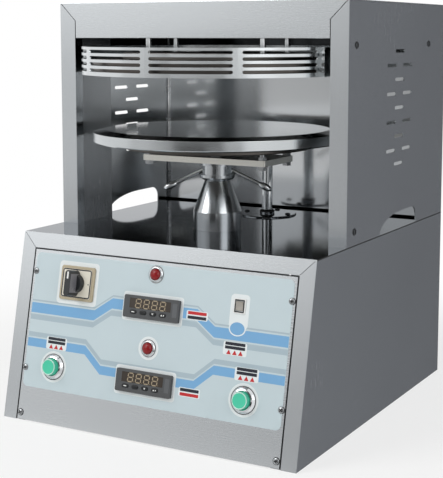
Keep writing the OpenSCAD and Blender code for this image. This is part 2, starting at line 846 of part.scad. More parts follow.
module guard_arc(from, sweep, runs, bow) {
    translate([0, press_y, upper_z - guard_drop]) linear_extrude(guard_h) guard_plan(from, sweep, runs, bow);
}

// Each arc ends in the middle of its tab's thickness
guard_seam_angle = atan((seam + guard_t) / 2 / guard_r);
guard_pitch_angle = 2 * guard_half / guard_slots;
guard_bridge_angle = 2 * atan(guard_bridge / 2 / guard_r);
// Shoulder where a slot's round end is narrower than the slot
guard_end_step = 0.2;
// How far each slotted run's centre lies behind the hoop's, which leaves the run a little flatter
guard_bow = 0.5;

// Half the angle that a slot takes up between its round ends
guard_slot_half = (guard_pitch_angle - guard_bridge_angle) / 2 - atan(guard_slot_h / 2 / guard_r);

// Arc of one slot of the guard, centred on the named angle and height
module guard_slot(angle, z) {
    translate([0, press_y, z]) rotate(angle - guard_slot_half)
        rotate_extrude(angle = 2 * guard_slot_half, $fn = 180)
        translate([guard_r - 3 * guard_t, -guard_slot_h / 2]) square([5 * guard_t, guard_slot_h]);
}

// Round ends of that slot
module guard_slot_ends(angle, z) {
    for (s = [-1, 1]) translate([0, press_y, z]) rotate(angle + s * guard_slot_half)
        translate([guard_r - 3 * guard_t, 0, 0]) rotate([0, 90, 0]) rotate(-s * 90)
        cylinder(d = guard_slot_h - 2 * guard_end_step, h = 5 * guard_t, $fn = 24);
}

module guard_bolt_holes() {
    for (side = [-1, 1], z = [0.25, 0.75])
        translate([0, press_y, upper_z - guard_drop + z * guard_h]) rotate(-90 + side * guard_half)
        translate([guard_r + guard_tab / 2, 10, 0]) rotate([90, 0, 0]) cylinder(d = 3.2, h = 20, $fn = 24);
}

module guard_front() {
    first = -90 - guard_half;
    z0 = upper_z - guard_drop + guard_h / 2 + guard_rows_up - (guard_rows - 1) / 2 * guard_pitch;
    color("#c9ccd0") difference() {
        difference() {
            guard_arc(first, 2 * guard_half, guard_slots, guard_bow);
            for (i = [0 : guard_slots - 1], row = [0 : guard_rows - 1])
                guard_slot(first + (i + 0.5) * guard_pitch_angle, z0 + row * guard_pitch);
        }
        for (i = [0 : guard_slots - 1], row = [0 : guard_rows - 1])
            guard_slot_ends(first + (i + 0.5) * guard_pitch_angle, z0 + row * guard_pitch);
        guard_bolt_holes();
    }
}

// Plain rear arc, with a boss on each side that seats on the uprights
module guard_rear() {
    first = -90 + guard_half;
    boss_end = half_w - post_w + sheet + seam;
    color("#b3b6ba") difference() {
        union() {
            guard_arc(first, 360 - 2 * guard_half, 1, 0);
            translate([-boss_end, press_y, upper_z - guard_drop + guard_h / 2]) rotate([0, 90, 0])
                cylinder(d = guard_boss_d, h = 2 * boss_end);
        }
        translate([0, press_y, upper_z - guard_drop - 1])
            cylinder(r = guard_r - guard_t, h = guard_h + 2, $fn = 180);
        guard_bolt_holes();
    }
}

module guard_bolts() {
    color("#d5d7da") for (side = [-1, 1], z = [0.25, 0.75])
        translate([0, press_y, upper_z - guard_drop + z * guard_h]) rotate(-90 + side * guard_half)
        translate([guard_r + guard_tab / 2, 0, 0]) rotate([90, 0, 0]) {
            half = seam / 2 + guard_t;
            translate([0, 0, -half - 2.4]) cylinder(d = 3, h = 2 * half + 4.4, $fn = 24);
            translate([0, 0, half]) cylinder(d = 5.6, h = 2, $fn = 24);
            translate([0, 0, -half - 2.4]) cylinder(d = 6, h = 2.4, $fn = 6);
        }
}

// Column

module ram() {
    r = ram_d / 2;
    spindle_top = bracket_z + bracket_t + spindle_over;
    color("#b0b3b7") difference() {
        translate([0, press_y, 0]) rotate_extrude($fn = 120)
            polygon([[0, ram_foot], [r, ram_foot], [r, ram_top], [cone_d / 2, cone_top],
                     [spindle_d / 2, cone_top], [spindle_d / 2, spindle_top - 1], [spindle_d / 2 - 1, spindle_top],
                     [0, spindle_top]]);
        translate([-slot_half, press_y - ram_d, ram_foot - 1])
            cube([2 * slot_half, 2 * ram_d, slot_top - ram_foot + 1]);
        translate([-ram_d, press_y, roller_z]) rotate([0, 90, 0]) cylinder(d = pin_d + 2 * run_fit, h = 2 * ram_d);
    }
}

module roller_pin() {
    color("#8f9296") translate([-0.45 * ram_d, press_y, roller_z]) rotate([0, 90, 0])
        cylinder(d = pin_d, h = 0.9 * ram_d);
}

module cam_roller() {
    color("#9b9ea2") translate([-roller_w / 2, press_y, roller_z]) rotate([0, 90, 0]) difference() {
        cylinder(r = roller_r, h = roller_w);
        translate([0, 0, -1]) cylinder(d = pin_d + 2 * run_fit, h = roller_w + 2);
    }
}

// Nut that turns on the spindle and carries the bracket
module setting_collar() {
    barrel = collar_d / 2;
    rim = collar_rim_d / 2;
    bore = spindle_d / 2 + run_fit;
    color("#c2c5c8") difference() {
        translate([0, press_y, collar_z]) rotate_extrude($fn = 120)
            polygon([[bore, 0], [cone_d / 2 + 1, 0], [rim - 1, 3], [rim, 4], [rim, 3 + collar_rim_h],
                     [barrel, 3 + collar_rim_h], [barrel, collar_h - collar_rim_h], [rim, collar_h - collar_rim_h],
                     [rim, collar_h - 1], [rim - 1, collar_h], [bore, collar_h]]);
        at_handles() translate([0, 0, -run_fit]) cylinder(d = handle_d + 2 * run_fit, h = barrel);
    }
}

// Frame of each handle: its root in the collar's barrel, its length along +Z
handle_root = spindle_d / 2 + 3;

module at_handles() {
    for (a = [0, 180]) translate([0, press_y, collar_z + 0.6 * collar_h]) rotate(handle_turn + a)
        translate([handle_root, 0, 0]) rotate([0, 90 + handle_drop, 0]) children();
}

module collar_handles() {
    length = (handle_reach - handle_root) / cos(handle_drop);
    color("#c2c5c8") at_handles() {
        cylinder(d = handle_d, h = length - grip_l / 2, $fn = 32);
        translate([0, 0, length - grip_l / 2]) rotate_extrude($fn = 40)
            polygon([for (a = [0 : 12 : 180]) [grip_d / 2 * sin(a), -grip_l / 2 * cos(a)]]);
    }
}

module ram_bush() {
    color("#a98b4a") translate([0, press_y, 0]) difference() {
        union() {
            translate([0, 0, bush_z]) cylinder(d = bush_d, h = deck_h - sheet - bush_z);
            translate([0, 0, bed_z - 8]) cylinder(d = bush_flange_d, h = 8);
        }
        translate([0, 0, bush_z - 1]) cylinder(d = ram_d + 2 * run_fit, h = deck_h);
    }
}

// Guide rod and its flanged sleeve in the deck

module guide_rod() {
    color("#c4c7ca") translate([0, rod_y, deck_h - rod_below])
        cylinder(d = rod_d, h = plate_z + stud_sunk - deck_h + rod_below);
}

module guide_flange() {
    color("#97999d") difference() {
        translate([0, rod_y, deck_h]) rotate_extrude($fn = 96)
            polygon([[rod_d / 2 + run_fit, -sleeve_l], [sleeve_d / 2, -sleeve_l], [sleeve_d / 2, 0],
                     [flange_d / 2, 0], [flange_d / 2, flange_t / 2], [flange_d / 2 - flange_t / 2, flange_t],
                     [wiper_d / 2, flange_t], [wiper_d / 2, flange_t + wiper_h - 1],
                     [wiper_d / 2 - 1, flange_t + wiper_h], [rod_d / 2 + run_fit, flange_t + wiper_h]]);
        at_flange_screws() translate([0, 0, -1]) cylinder(r = screw_r + control_fit / 3, h = flange_t + 2);
    }
}

// Drive

// Distance of the roller's centre from the cam's axis, at an angle round the cam
function roller_path(a) =
    a < 0 ? roller_path(a + 360) :
    a >= 360 ? roller_path(a - 360) :
    a < cam_angle ? pitch_r + stroke * a / cam_angle :
    a < cam_angle + cam_dwell ? pitch_r + stroke :
    a < 360 - cam_dwell ? pitch_r + stroke * (1 + cos(180 * (a - cam_angle - cam_dwell) / cam_return)) / 2 :
    pitch_r;

// Radius of the cam's edge: as far out as every place of the roller leaves room for
function cam_edge(a) = min([for (d = [-45 : 1 : 45])
    let (p = roller_path(a + d), s = roller_r + cam_gap, off = p * sin(d))
    if (abs(off) < s) p * cos(d) - sqrt(s * s - off * off)]);

module cam() {
    color("#8a8d92") translate([0, press_y, cam_z]) difference() {
        union() {
            yz_plate(-cam_t / 2, cam_t) polygon([for (a = [0 : 3 : 357]) cam_edge(a) * [sin(a), cos(a)]]);
            translate([-hub_half, 0, 0]) rotate([0, 90, 0]) cylinder(r = hub_r, h = 2 * hub_half);
        }
        translate([-hub_half - 1, 0, 0]) rotate([0, 90, 0])
            cylinder(d = shaft_d + 2 * run_fit, h = 2 * hub_half + 2);
    }
}

module cam_shaft() {
    left = -bearing_x - bearing_w - 4;
    color("#a2a5a9") translate([left, press_y, cam_z]) rotate([0, 90, 0])
        cylinder(d = shaft_d, h = gearbox_x + gearbox_w + 4 - left);
}

// Pedestal bearing on the floor for the shaft's free end
module shaft_bearing() {
    r = shaft_d / 2 + 12;
    color("#4d5054") difference() {
        yz_plate(-bearing_x - bearing_w, bearing_w) {
            translate([press_y, cam_z]) circle(r);
            translate([press_y - r, floor_t]) square([2 * r, cam_z - floor_t]);
            translate([press_y - 2 * r, floor_t]) square([4 * r, gearbox_foot]);
        }
        translate([-body_w, press_y, cam_z]) rotate([0, 90, 0])
            cylinder(d = shaft_d + 2 * run_fit, h = 2 * body_w);
    }
}

// Worm gearbox: a round wheel case over a worm case, on a foot
module gearbox() {
    color("#5b6067") difference() {
        union() {
            translate([gearbox_x, press_y, cam_z]) rotate([0, 90, 0]) cylinder(r = gearbox_r, h = gearbox_w);
            translate([gearbox_x + gearbox_w / 2, press_y - gearbox_r, worm_z]) rotate([-90, 0, 0])
                cylinder(r = gearbox_w / 2 - 8, h = 2 * gearbox_r);
            translate([gearbox_x + 6, press_y - gearbox_r, floor_t])
                cube([gearbox_w - 12, 2 * gearbox_r, worm_z - floor_t]);
            translate([gearbox_x, press_y - gearbox_r - 6, floor_t])
                cube([gearbox_w, 2 * gearbox_r, gearbox_foot]);
        }
        translate([0, press_y, cam_z]) rotate([0, 90, 0]) cylinder(d = shaft_d + 2 * run_fit, h = body_w);
    }
}

// Motor with a flange, cooling fins and a fan cover
module gear_motor() {
    fins = 24;
    r = motor_d / 2;
    color("#46494e") translate([gearbox_x + gearbox_w / 2, press_y + gearbox_r, worm_z]) rotate([-90, 0, 0]) {
        cylinder(r = r - 4, h = 10);
        translate([0, 0, 10]) cylinder(r = r - 8, h = motor_l - 50);
        for (i = [0 : fins - 1]) rotate(i * 360 / fins) translate([0, -1.2, 14]) cube([r - 3, 2.4, motor_l - 58]);
        translate([0, 0, motor_l - 40]) cylinder(r = r, h = 36);
        translate([0, 0, motor_l - 4]) cylinder(r1 = r, r2 = r - 4, h = 4);
    }
}

// Controls

switch_neck_d = 18;
switch_shaft_d = 8;
switch_base_t = 3;
switch_plate_t = 1.2;
switch_body = 40;

// Front plate and rear body of the main switch, joined by a neck through the panel
module switch_base() {
    color("#b8a37e") on_panel(switch_u, switch_v) difference() {
        union() {
            linear_extrude(switch_base_t) rounded_plate(switch_w, switch_h, 3);
            translate([0, 0, -sheet]) cylinder(d = switch_neck_d, h = sheet);
            translate([0, -4, -sheet - switch_body]) linear_extrude(switch_body) rounded_plate(44, 34, 3);
        }
        translate([0, 0, -sheet - switch_body / 2])
            cylinder(d = switch_shaft_d + 2 * run_fit, h = switch_body);
    }
}

module switch_plate() {
    color("#e6e1d0") on_panel(switch_u, switch_v, switch_base_t) difference() {
        linear_extrude(switch_plate_t) rounded_plate(switch_w - 7, switch_h - 7, 2);
        translate([0, 0, -1]) cylinder(d = switch_shaft_d + 2 * run_fit, h = switch_plate_t + 2);
    }
}

// Turning knob: a round boss with a waisted bar across it
module switch_knob() {
    face = switch_base_t + switch_plate_t + thrust_gap;
    boss_r = switch_bar_l / 2 - 4;
    color("#1d1d1f") on_panel(switch_u, switch_v) {
        translate([0, 0, face]) cylinder(r1 = boss_r, r2 = boss_r - 1.5, h = 6);
        translate([0, 0, face]) linear_extrude(6 + switch_bar_h) rotate(90)
            long_hole(switch_bar_l, switch_bar_w);
        translate([0, 0, -sheet - switch_body / 2 + 2])
            cylinder(d = switch_shaft_d, h = face + sheet + switch_body / 2);
    }
}

// Case of a controller, with a display recess and four key pockets
module controllers() {
    color("#3a3b3d") for (v = display_v) on_panel(display_u, v) difference() {
        union() {
            linear_extrude(display_t) rounded_plate(display_w, display_h, 2);
            translate([0, 0, -display_depth]) linear_extrude(display_depth)
                square([display_w - 4, display_h - 4], center = true);
        }
        translate([window_u, window_v, display_t - window_t]) linear_extrude(window_t + 1)
            square([window_w, window_h], center = true);
        for (u = key_u) translate([u, key_v, display_t - 3]) linear_extrude(4)
            long_hole(key_l + 2 * control_fit, key_w + 2 * control_fit);
    }
}

module controller_windows() {
    color("#2a1d14") for (v = display_v) on_panel(display_u + window_u, v + window_v, display_t - window_t)
        linear_extrude(window_t) square([window_w - 2 * run_fit, window_h - 2 * run_fit], center = true);
}

module controller_key(place, number) {
    color("#151516") on_panel(display_u + key_u[number], display_v[place] + key_v, display_t - 3 + 1.2)
        linear_extrude(3 - 1.2 + key_travel + 0.3) long_hole(key_l, key_w);
}

module lamp_rims() {
    color("#d9dcdf") for (v = lamp_v) on_panel(display_u, v) difference() {
        rotate_extrude() polygon([[0, -14], [lamp_lens_d / 2 + 1, -14], [lamp_lens_d / 2 + 1, 0],
            [lamp_d / 2, 0], [lamp_d / 2, 1.5], [lamp_d / 2 - 1.5, 3], [0, 3]]);
        translate([0, 0, -6]) cylinder(d = lamp_lens_d + 2 * run_fit, h = 12);
    }
}

module lamp_lenses() {
    r = lamp_lens_d / 2;
    color("#b3131b") for (v = lamp_v) on_panel(display_u, v) rotate_extrude()
        polygon(concat([[0, -6], [r, -6], [r, 3]], [for (a = [15 : 15 : 90]) [r * cos(a), 3 + 0.5 * r * sin(a)]]));
}

button_barrel_d = button_d + 5;
button_rim_t = 5;
button_barrel_l = 22;
button_face = 12;

// Rims of the two push buttons: a tapered ring, a barrel through the panel and a contact block
module button_rims() {
    bore = button_d / 2 + control_fit;
    color("#d0d3d6") for (i = [0, 1]) on_panel(button_u[i], button_v[i]) {
        rotate_extrude() polygon([[bore, -button_barrel_l], [button_barrel_d / 2, -button_barrel_l],
            [button_barrel_d / 2, 0], [button_rim_d / 2, 0], [button_rim_d / 2, 1.2],
            [button_rim_d / 2 - 2.5, button_rim_t - 0.6], [bore + 1, button_rim_t], [bore, button_rim_t - 0.8]]);
        translate([0, 0, -button_barrel_l - 28]) linear_extrude(28) rounded_plate(button_barrel_d + 3, 38, 2);
    }
}

// Cap of a push button: a flat face with a rounded edge, over a plunger that fills the barrel
module button_cap(i) {
    r = button_d / 2;
    foot = -button_barrel_l + button_travel + 0.6;
    color("#3dc4a0") on_panel(button_u[i], button_v[i]) rotate_extrude()
        polygon([[0, foot], [r, foot], [r, button_face - 1.5], [r - 0.5, button_face - 0.5],
                 [r - 1.6, button_face], [r - 3, button_face - 0.5], [0, button_face - 0.5]]);
}

rocker_frame_w = rocker_w + 6;
rocker_frame_h = 2 * rocker_r + 6;
rocker_pivot = -1.5;
rocker_pin_d = 2.4;
rocker_pin_l = 1.4;

module rocker_frame() {
    color("#26272a") on_panel(rocker_u, rocker_v) difference() {
        union() {
            linear_extrude(2) square([rocker_frame_w, rocker_frame_h], center = true);
            translate([0, 0, -14]) linear_extrude(14)
                square([rocker_w + 4, 2 * rocker_r + 4], center = true);
        }
        translate([0, 0, -10]) linear_extrude(14)
            square([rocker_w + 2 * control_fit, 2 * (rocker_r + control_fit)], center = true);
        translate([0, 0, rocker_pivot]) rotate([0, 90, 0])
            cylinder(d = rocker_pin_d + 2 * run_fit, h = rocker_w + 2 * rocker_pin_l + 2 * run_fit, center = true);
    }
}

// Rocker with round ends about its pivot and a face that dips in the middle
module rocker() {
    ends = [for (a = [-40 : 8.2 : 42]) rocker_r * [cos(a), sin(a)]];
    far_ends = [for (a = [138 : 8.2 : 220]) rocker_r * [cos(a), sin(a)]];
    color("#a59a86") on_panel(rocker_u, rocker_v, rocker_pivot) rotate([rocker_tilt, 0, 0])
        union() {
            yz_plate(-rocker_w / 2, rocker_w) polygon(concat(ends, [[0, 0.55 * rocker_r]], far_ends));
            rotate([0, 90, 0]) cylinder(d = rocker_pin_d, h = rocker_w + 2 * rocker_pin_l, center = true);
        }
}

base_side_left();
base_side_right();
deck();
base_floor();
rear_cover();
cable_gland();
control_panel();
panel_overlay();
sheet_screws();
hood_side_left();
hood_side_right();
hood_roof();
hood_back_wall();
uprights();
top_beam();
press_bed();
upper_plate();
upper_heater();
upper_studs();
guard_front();
guard_rear();
guard_bolts();
ram_bush();
guide_flange();
gearbox();
gear_motor();
shaft_bearing();
switch_base();
switch_plate();
controllers();
controller_windows();
lamp_rims();
lamp_lenses();
button_rims();
rocker_frame();
ram();
roller_pin();
cam_roller();
cam();
cam_shaft();
bracket();
lower_studs();
lower_plate();
lower_heater();
guide_rod();
setting_collar();
collar_handles();
switch_knob();
button_cap(0);  // button_left
button_cap(1);  // button_right
rocker();
controller_key(0, 0);  // key_lower_1
controller_key(0, 1);  // key_lower_2
controller_key(0, 2);  // key_lower_3
controller_key(0, 3);  // key_lower_4
controller_key(1, 0);  // key_upper_1
controller_key(1, 1);  // key_upper_2
controller_key(1, 2);  // key_upper_3
controller_key(1, 3);  // key_upper_4
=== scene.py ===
import math

import bmesh
import bpy
from mathutils import Matrix, Vector


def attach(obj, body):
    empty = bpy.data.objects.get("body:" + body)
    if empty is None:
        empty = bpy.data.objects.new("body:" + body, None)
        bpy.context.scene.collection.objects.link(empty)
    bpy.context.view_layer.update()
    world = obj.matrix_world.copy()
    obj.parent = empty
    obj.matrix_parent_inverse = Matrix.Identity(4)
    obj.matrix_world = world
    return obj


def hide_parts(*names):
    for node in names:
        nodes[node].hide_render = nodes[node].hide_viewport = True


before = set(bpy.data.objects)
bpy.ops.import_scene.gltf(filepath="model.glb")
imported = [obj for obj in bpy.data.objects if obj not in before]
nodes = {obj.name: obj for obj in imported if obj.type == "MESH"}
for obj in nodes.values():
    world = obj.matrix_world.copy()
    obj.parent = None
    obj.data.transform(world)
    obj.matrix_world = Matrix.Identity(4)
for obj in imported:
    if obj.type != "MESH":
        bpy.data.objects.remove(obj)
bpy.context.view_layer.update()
scene = bpy.context.scene
print("frame loaded")


def addObject(name, data):
    made = bpy.data.objects.new(name, data)
    scene.collection.objects.link(made)
    return made


# Camera at the photograph's angle. Its focal length, rise and height are in the picture's pixels
view = {"place": (0.77728, -1.43067, 0.49779), "yaw": 29.17, "pitch": 6.91, "sensor": 36,
        "focal": 1192.74, "rise": -60, "high": 478}
camera = addObject("camera", bpy.data.cameras.new("camera"))
camera.location = view["place"]
camera.rotation_euler = (math.radians(90 - view["pitch"]), 0, math.radians(view["yaw"]))
camera.data.sensor_width = view["sensor"]
camera.data.lens = view["focal"] * view["sensor"] / view["high"]
camera.data.shift_y = view["rise"] / view["high"]
scene.camera = camera
scene.view_settings.view_transform = "Standard"


def linear(hexColour):
    parts = [int(hexColour[i:i + 2], 16) / 255 for i in (1, 3, 5)]
    return tuple(p / 12.92 if p <= 0.04045 else ((p + 0.055) / 1.055) ** 2.4 for p in parts) + (1,)


def addNode(tree, kind, links=None, values=None, **settings):
    made = tree.nodes.new(kind)
    for key, value in settings.items():
        setattr(made, key, value)
    for key, value in (values or {}).items():
        made.inputs[key].default_value = value
    for key, source in (links or {}).items():
        tree.links.new(source, made.inputs[key])
    return made


def startMaterial(name, **values):
    material = bpy.data.materials.new(name)
    material.use_nodes = True
    tree = material.node_tree
    shader = tree.nodes["Principled BSDF"]
    for key, value in values.items():
        shader.inputs[key.replace("_", " ")].default_value = value
    return material, tree, shader


# Light: a white studio that metal mirrors, a soft key from the upper left, a weaker fill from the right
studio = {"white": "#FFFFFF", "level": 0.55}
scene.world = bpy.data.worlds.new("studio")
scene.world.use_nodes = True
sky = scene.world.node_tree
sky.nodes.clear()
path = addNode(sky, "ShaderNodeLightPath").outputs
direct = addNode(sky, "ShaderNodeMath", {0: path["Is Camera Ray"], 1: path["Is Glossy Ray"]},
                 operation="MAXIMUM")
seen = addNode(sky, "ShaderNodeMath", {0: direct.outputs[0], 1: path["Is Transmission Ray"]},
               operation="MAXIMUM")
soft = addNode(sky, "ShaderNodeBackground", None,
               {"Color": linear(studio["white"]), "Strength": studio["level"]})
plain = addNode(sky, "ShaderNodeBackground", None, {"Color": linear(studio["white"]), "Strength": 1})
mixed = addNode(sky, "ShaderNodeMixShader", {0: seen.outputs[0], 1: soft.outputs[0], 2: plain.outputs[0]})
addNode(sky, "ShaderNodeOutputWorld", {0: mixed.outputs[0]})


# The turn that points an axis from a lamp's or card's place to its aim
def turnToAim(item, axis):
    return (Vector(item["aim"]) - Vector(item["place"])).to_track_quat(axis, "Y").to_euler()


studioLamps = {
    "key": {"place": (-1.5, -2.0, 2.1), "aim": (0, 0, 0.25), "size": 1.6, "power": 36},
    "fill": {"place": (2.0, -1.2, 1.2), "aim": (0, 0, 0.3), "size": 1.4, "power": 9},
}
for lightName, studioLamp in studioLamps.items():
    light = addObject(lightName, bpy.data.lights.new(lightName, "AREA"))
    light.data.size = studioLamp["size"]
    light.data.energy = studioLamp["power"]
    light.location = studioLamp["place"]
    light.rotation_euler = turnToAim(studioLamp, "-Z")


# A flat rectangle about its middle, for the floor and the cards
def flatSheet(name, wide, high, material):
    x, y = wide / 2, high / 2
    mesh = bpy.data.meshes.new(name)
    mesh.from_pydata([(-x, -y, 0), (x, -y, 0), (x, y, 0), (-x, y, 0)], [], [(0, 1, 2, 3)])
    mesh.materials.append(material)
    return addObject(name, mesh)


# Matt pale floor: takes the object's shadow close by and fades to the white background
floorLook = {"colour": "#F7F7F6", "size": 18, "drop": 0.0004, "fade": (0.35, 0.95), "glow": (0.62, 1)}
floorMaterial, floorTree, floorShader = startMaterial(
    "paleFloor", Base_Color=linear(floorLook["colour"]), Roughness=0.9, Specular_IOR_Level=0.1)
floorPlace = addNode(floorTree, "ShaderNodeTexCoord")
floorReach = addNode(floorTree, "ShaderNodeVectorMath", {0: floorPlace.outputs["Object"]}, operation="LENGTH")
floorFade = addNode(floorTree, "ShaderNodeMapRange", {"Value": floorReach.outputs["Value"]},
                    {"From Min": floorLook["fade"][0], "From Max": floorLook["fade"][1],
                     "To Min": floorLook["glow"][0], "To Max": floorLook["glow"][1]},
                    interpolation_type="SMOOTHSTEP")
floorPath = addNode(floorTree, "ShaderNodeLightPath")
floorMix = addNode(floorTree, "ShaderNodeMath",
                   {0: floorFade.outputs[0], 1: floorPath.outputs["Is Camera Ray"]}, operation="MULTIPLY")
floorGlow = addNode(floorTree, "ShaderNodeEmission", None, {"Color": linear(studio["white"]), "Strength": 1})
floorBoth = addNode(floorTree, "ShaderNodeMixShader",
                    {0: floorMix.outputs[0], 1: floorShader.outputs[0], 2: floorGlow.outputs[0]})
floorTree.links.new(floorBoth.outputs[0], floorTree.nodes["Material Output"].inputs[0])
floor = flatSheet("floor", floorLook["size"], floorLook["size"], floorMaterial)
floor.location.z = -floorLook["drop"]
floor.visible_glossy = False

# Studio cards that only the metal mirrors, each with its tones across and up: one behind to the right,
# three in front that are darker below the camera's height, a small low one for the column, and one on the
# floor that is darker close to the object, a painted shadow of the object for the metal to mirror
cards = {
    "rightCard": {"place": (1.35, 2.5, 0.2), "aim": (0.2, 0, 0.2), "wide": 3.6, "high": 5,
                  "colour": "#F6F8FF", "across": ((0, 0.06), (1, 0.4)), "up": ((0, 0.9), (1, 1))},
    "leftCard": {"place": (-2, -2.6, 0.5), "aim": (-2, 0, 0.5), "wide": 3.2, "high": 4,
                 "colour": "#FFFFFF", "across": ((0, 0.6), (0.156, 0.72), (0.45, 1)),
                 "up": ((0.3, 1), (0.38, 0.8), (0.42, 0.68), (0.45, 0.58), (0.4825, 0.68), (0.505, 0.9),
                        (0.53, 1.08), (0.56, 1.12))},
    "cameraCard": {"place": (0.6, -2.6, 0.5), "aim": (0.6, 0, 0.5), "wide": 2, "high": 4,
                   "colour": "#FFFFFF", "across": ((0, 0.95), (1, 1)),
                   "up": ((0.442, 0.03), (0.462, 0.95), (0.503, 0.95), (0.53, 0.12))},
    "sideCard": {"place": (2.4, -2.6, 0.5), "aim": (2.4, 0, 0.5), "wide": 1.6, "high": 4,
                 "colour": "#FFFFFF", "across": ((0, 0.6), (0.4, 0.95), (0.82, 0.95), (1, 0.25)),
                 "up": ((0.25, 0.2), (0.36, 0.55), (0.44, 0.9), (0.503, 0.95), (0.53, 0.15))},
    "columnCard": {"place": (1.2, -2.58, -0.3), "aim": (1.2, 0, -0.3), "wide": 0.5, "high": 0.6,
                   "colour": "#FFFFFF", "across": ((0, 1), (1, 1)), "up": ((0, 0.8), (1, 0.6))},
    "floorCard": {"place": (-0.9, -0.95, -0.002), "aim": (-0.9, -0.95, 1), "wide": 2.2, "high": 1.36,
                  "colour": "#FFFFFF", "across": ((0, 1), (1, 1)), "up": ((0, 0.8), (1, 0.22))},
}
unseenBy = ("camera", "diffuse", "shadow", "transmission", "volume_scatter")
for cardName, card in cards.items():
    cardMaterial = bpy.data.materials.new(cardName)
    cardMaterial.use_nodes = True
    cardTree = cardMaterial.node_tree
    cardTree.nodes.clear()
    cardSpot = addNode(cardTree, "ShaderNodeTexCoord").outputs["Generated"]
    cardPlace = addNode(cardTree, "ShaderNodeSeparateXYZ", {0: cardSpot})
    tones = []
    for axis, way in enumerate(("across", "up")):
        ramp = addNode(cardTree, "ShaderNodeValToRGB", {0: cardPlace.outputs[axis]})
        stops = ramp.color_ramp.elements
        while len(stops) < len(card[way]):
            stops.new(0.5)
        for stop, (at, tone) in zip(stops, card[way]):
            stop.position = at
            stop.color = (tone, tone, tone, 1)
        tones.append(ramp.outputs[0])
    level = addNode(cardTree, "ShaderNodeMath", {0: tones[0], 1: tones[1]}, operation="MULTIPLY")
    glow = addNode(cardTree, "ShaderNodeEmission", {"Strength": level.outputs[0]},
                   {"Color": linear(card["colour"])})
    addNode(cardTree, "ShaderNodeOutputMaterial", {0: glow.outputs[0]})
    cardPiece = flatSheet(cardName, card["wide"], card["high"], cardMaterial)
    cardPiece.location = card["place"]
    cardPiece.rotation_euler = turnToAim(card, "Z")
    for ray in unseenBy:
        setattr(cardPiece, "visible_" + ray, False)
print("camera, light, floor and cards made")

# Sizes of the patterns in millimetres. A streak is long one way. Brushed and turned grain is finer than a
# pixel in the real metal: it is drawn about half a millimetre wide, as coarse as it needs to be to show
grains = {
    "across": (25, 0.45, 0.45), "upright": (0.45, 0.45, 25), "round": (17, 17, 0.45),
    "polished": (17, 0.5, 0.5), "bright": (0.42, 0.42, 17),
    "rolledUp": (3.3, 3.3, 25), "rolledAcross": (25, 3.3, 3.3),
}
smudges = {"sheet": 200, "turned": 110, "patch": 17}
smoothest = 0.02  # no finish is polished beyond this roughness


def perMetre(size):
    return 1000 / size


# Colour, roughness and relief of a finish, each driven by one of its patterns
def layFinish(tree, shader, colour, rough, spread, finish):
    deeper = tuple(c * finish["darker"] for c in linear(colour)[:3]) + (1,)
    tint = addNode(tree, "ShaderNodeMix", {0: finish["tintBy"]}, {6: deeper, 7: linear(colour)},
                   data_type="RGBA")
    rougher = addNode(tree, "ShaderNodeMapRange", {"Value": finish["roughBy"]},
                      {"From Min": finish["reach"][0], "From Max": finish["reach"][1],
                       "To Min": max(rough - spread, smoothest), "To Max": rough + spread})
    relief = addNode(tree, "ShaderNodeBump", {"Height": finish["raisedBy"]},
                     {"Strength": finish["strength"], "Distance": finish["depth"] / 1000})
    tree.links.new(tint.outputs[2], shader.inputs["Base Color"])
    tree.links.new(rougher.outputs[0], shader.inputs["Roughness"])
    tree.links.new(relief.outputs[0], shader.inputs["Normal"])
    return tint


# Sheet with a grain, smudged by hands, with a depth of scratch. A painted shade can darken it over a range of
# heights
def brushedMetal(name, colour, rough, grain, spread, depth, scorch=None):
    material, tree, shader = startMaterial(name, Metallic=1)
    place = addNode(tree, "ShaderNodeTexCoord").outputs["Object"]
    stretch = addNode(tree, "ShaderNodeMapping", {"Vector": place},
                      {"Scale": [perMetre(size) for size in grains[grain]]})
    lines = addNode(tree, "ShaderNodeTexNoise", {"Vector": stretch.outputs[0]},
                    {"Scale": 1, "Detail": 3, "Roughness": 0.6})
    cloud = addNode(tree, "ShaderNodeTexNoise", {"Vector": place},
                    {"Scale": perMetre(smudges["sheet"]), "Detail": 3})
    both = addNode(tree, "ShaderNodeMath", {0: lines.outputs[0], 1: cloud.outputs[0]}, operation="ADD")
    tint = layFinish(tree, shader, colour, rough, spread, {
        "tintBy": lines.outputs[0], "darker": 0.97, "roughBy": both.outputs[0], "reach": (0.6, 1.4),
        "raisedBy": lines.outputs[0], "strength": 0.2, "depth": depth})
    # painted shade: a darker colour fades in between two heights
    if scorch:
        height = addNode(tree, "ShaderNodeSeparateXYZ", {0: place})
        heat = addNode(tree, "ShaderNodeMapRange", {"Value": height.outputs[2]},
                       {"From Min": scorch["from"], "From Max": scorch["to"]})
        burnt = addNode(tree, "ShaderNodeMix", {0: heat.outputs[0], 6: tint.outputs[2]},
                        {7: linear(scorch["colour"])}, data_type="RGBA")
        tree.links.new(burnt.outputs[2], shader.inputs["Base Color"])
    return material


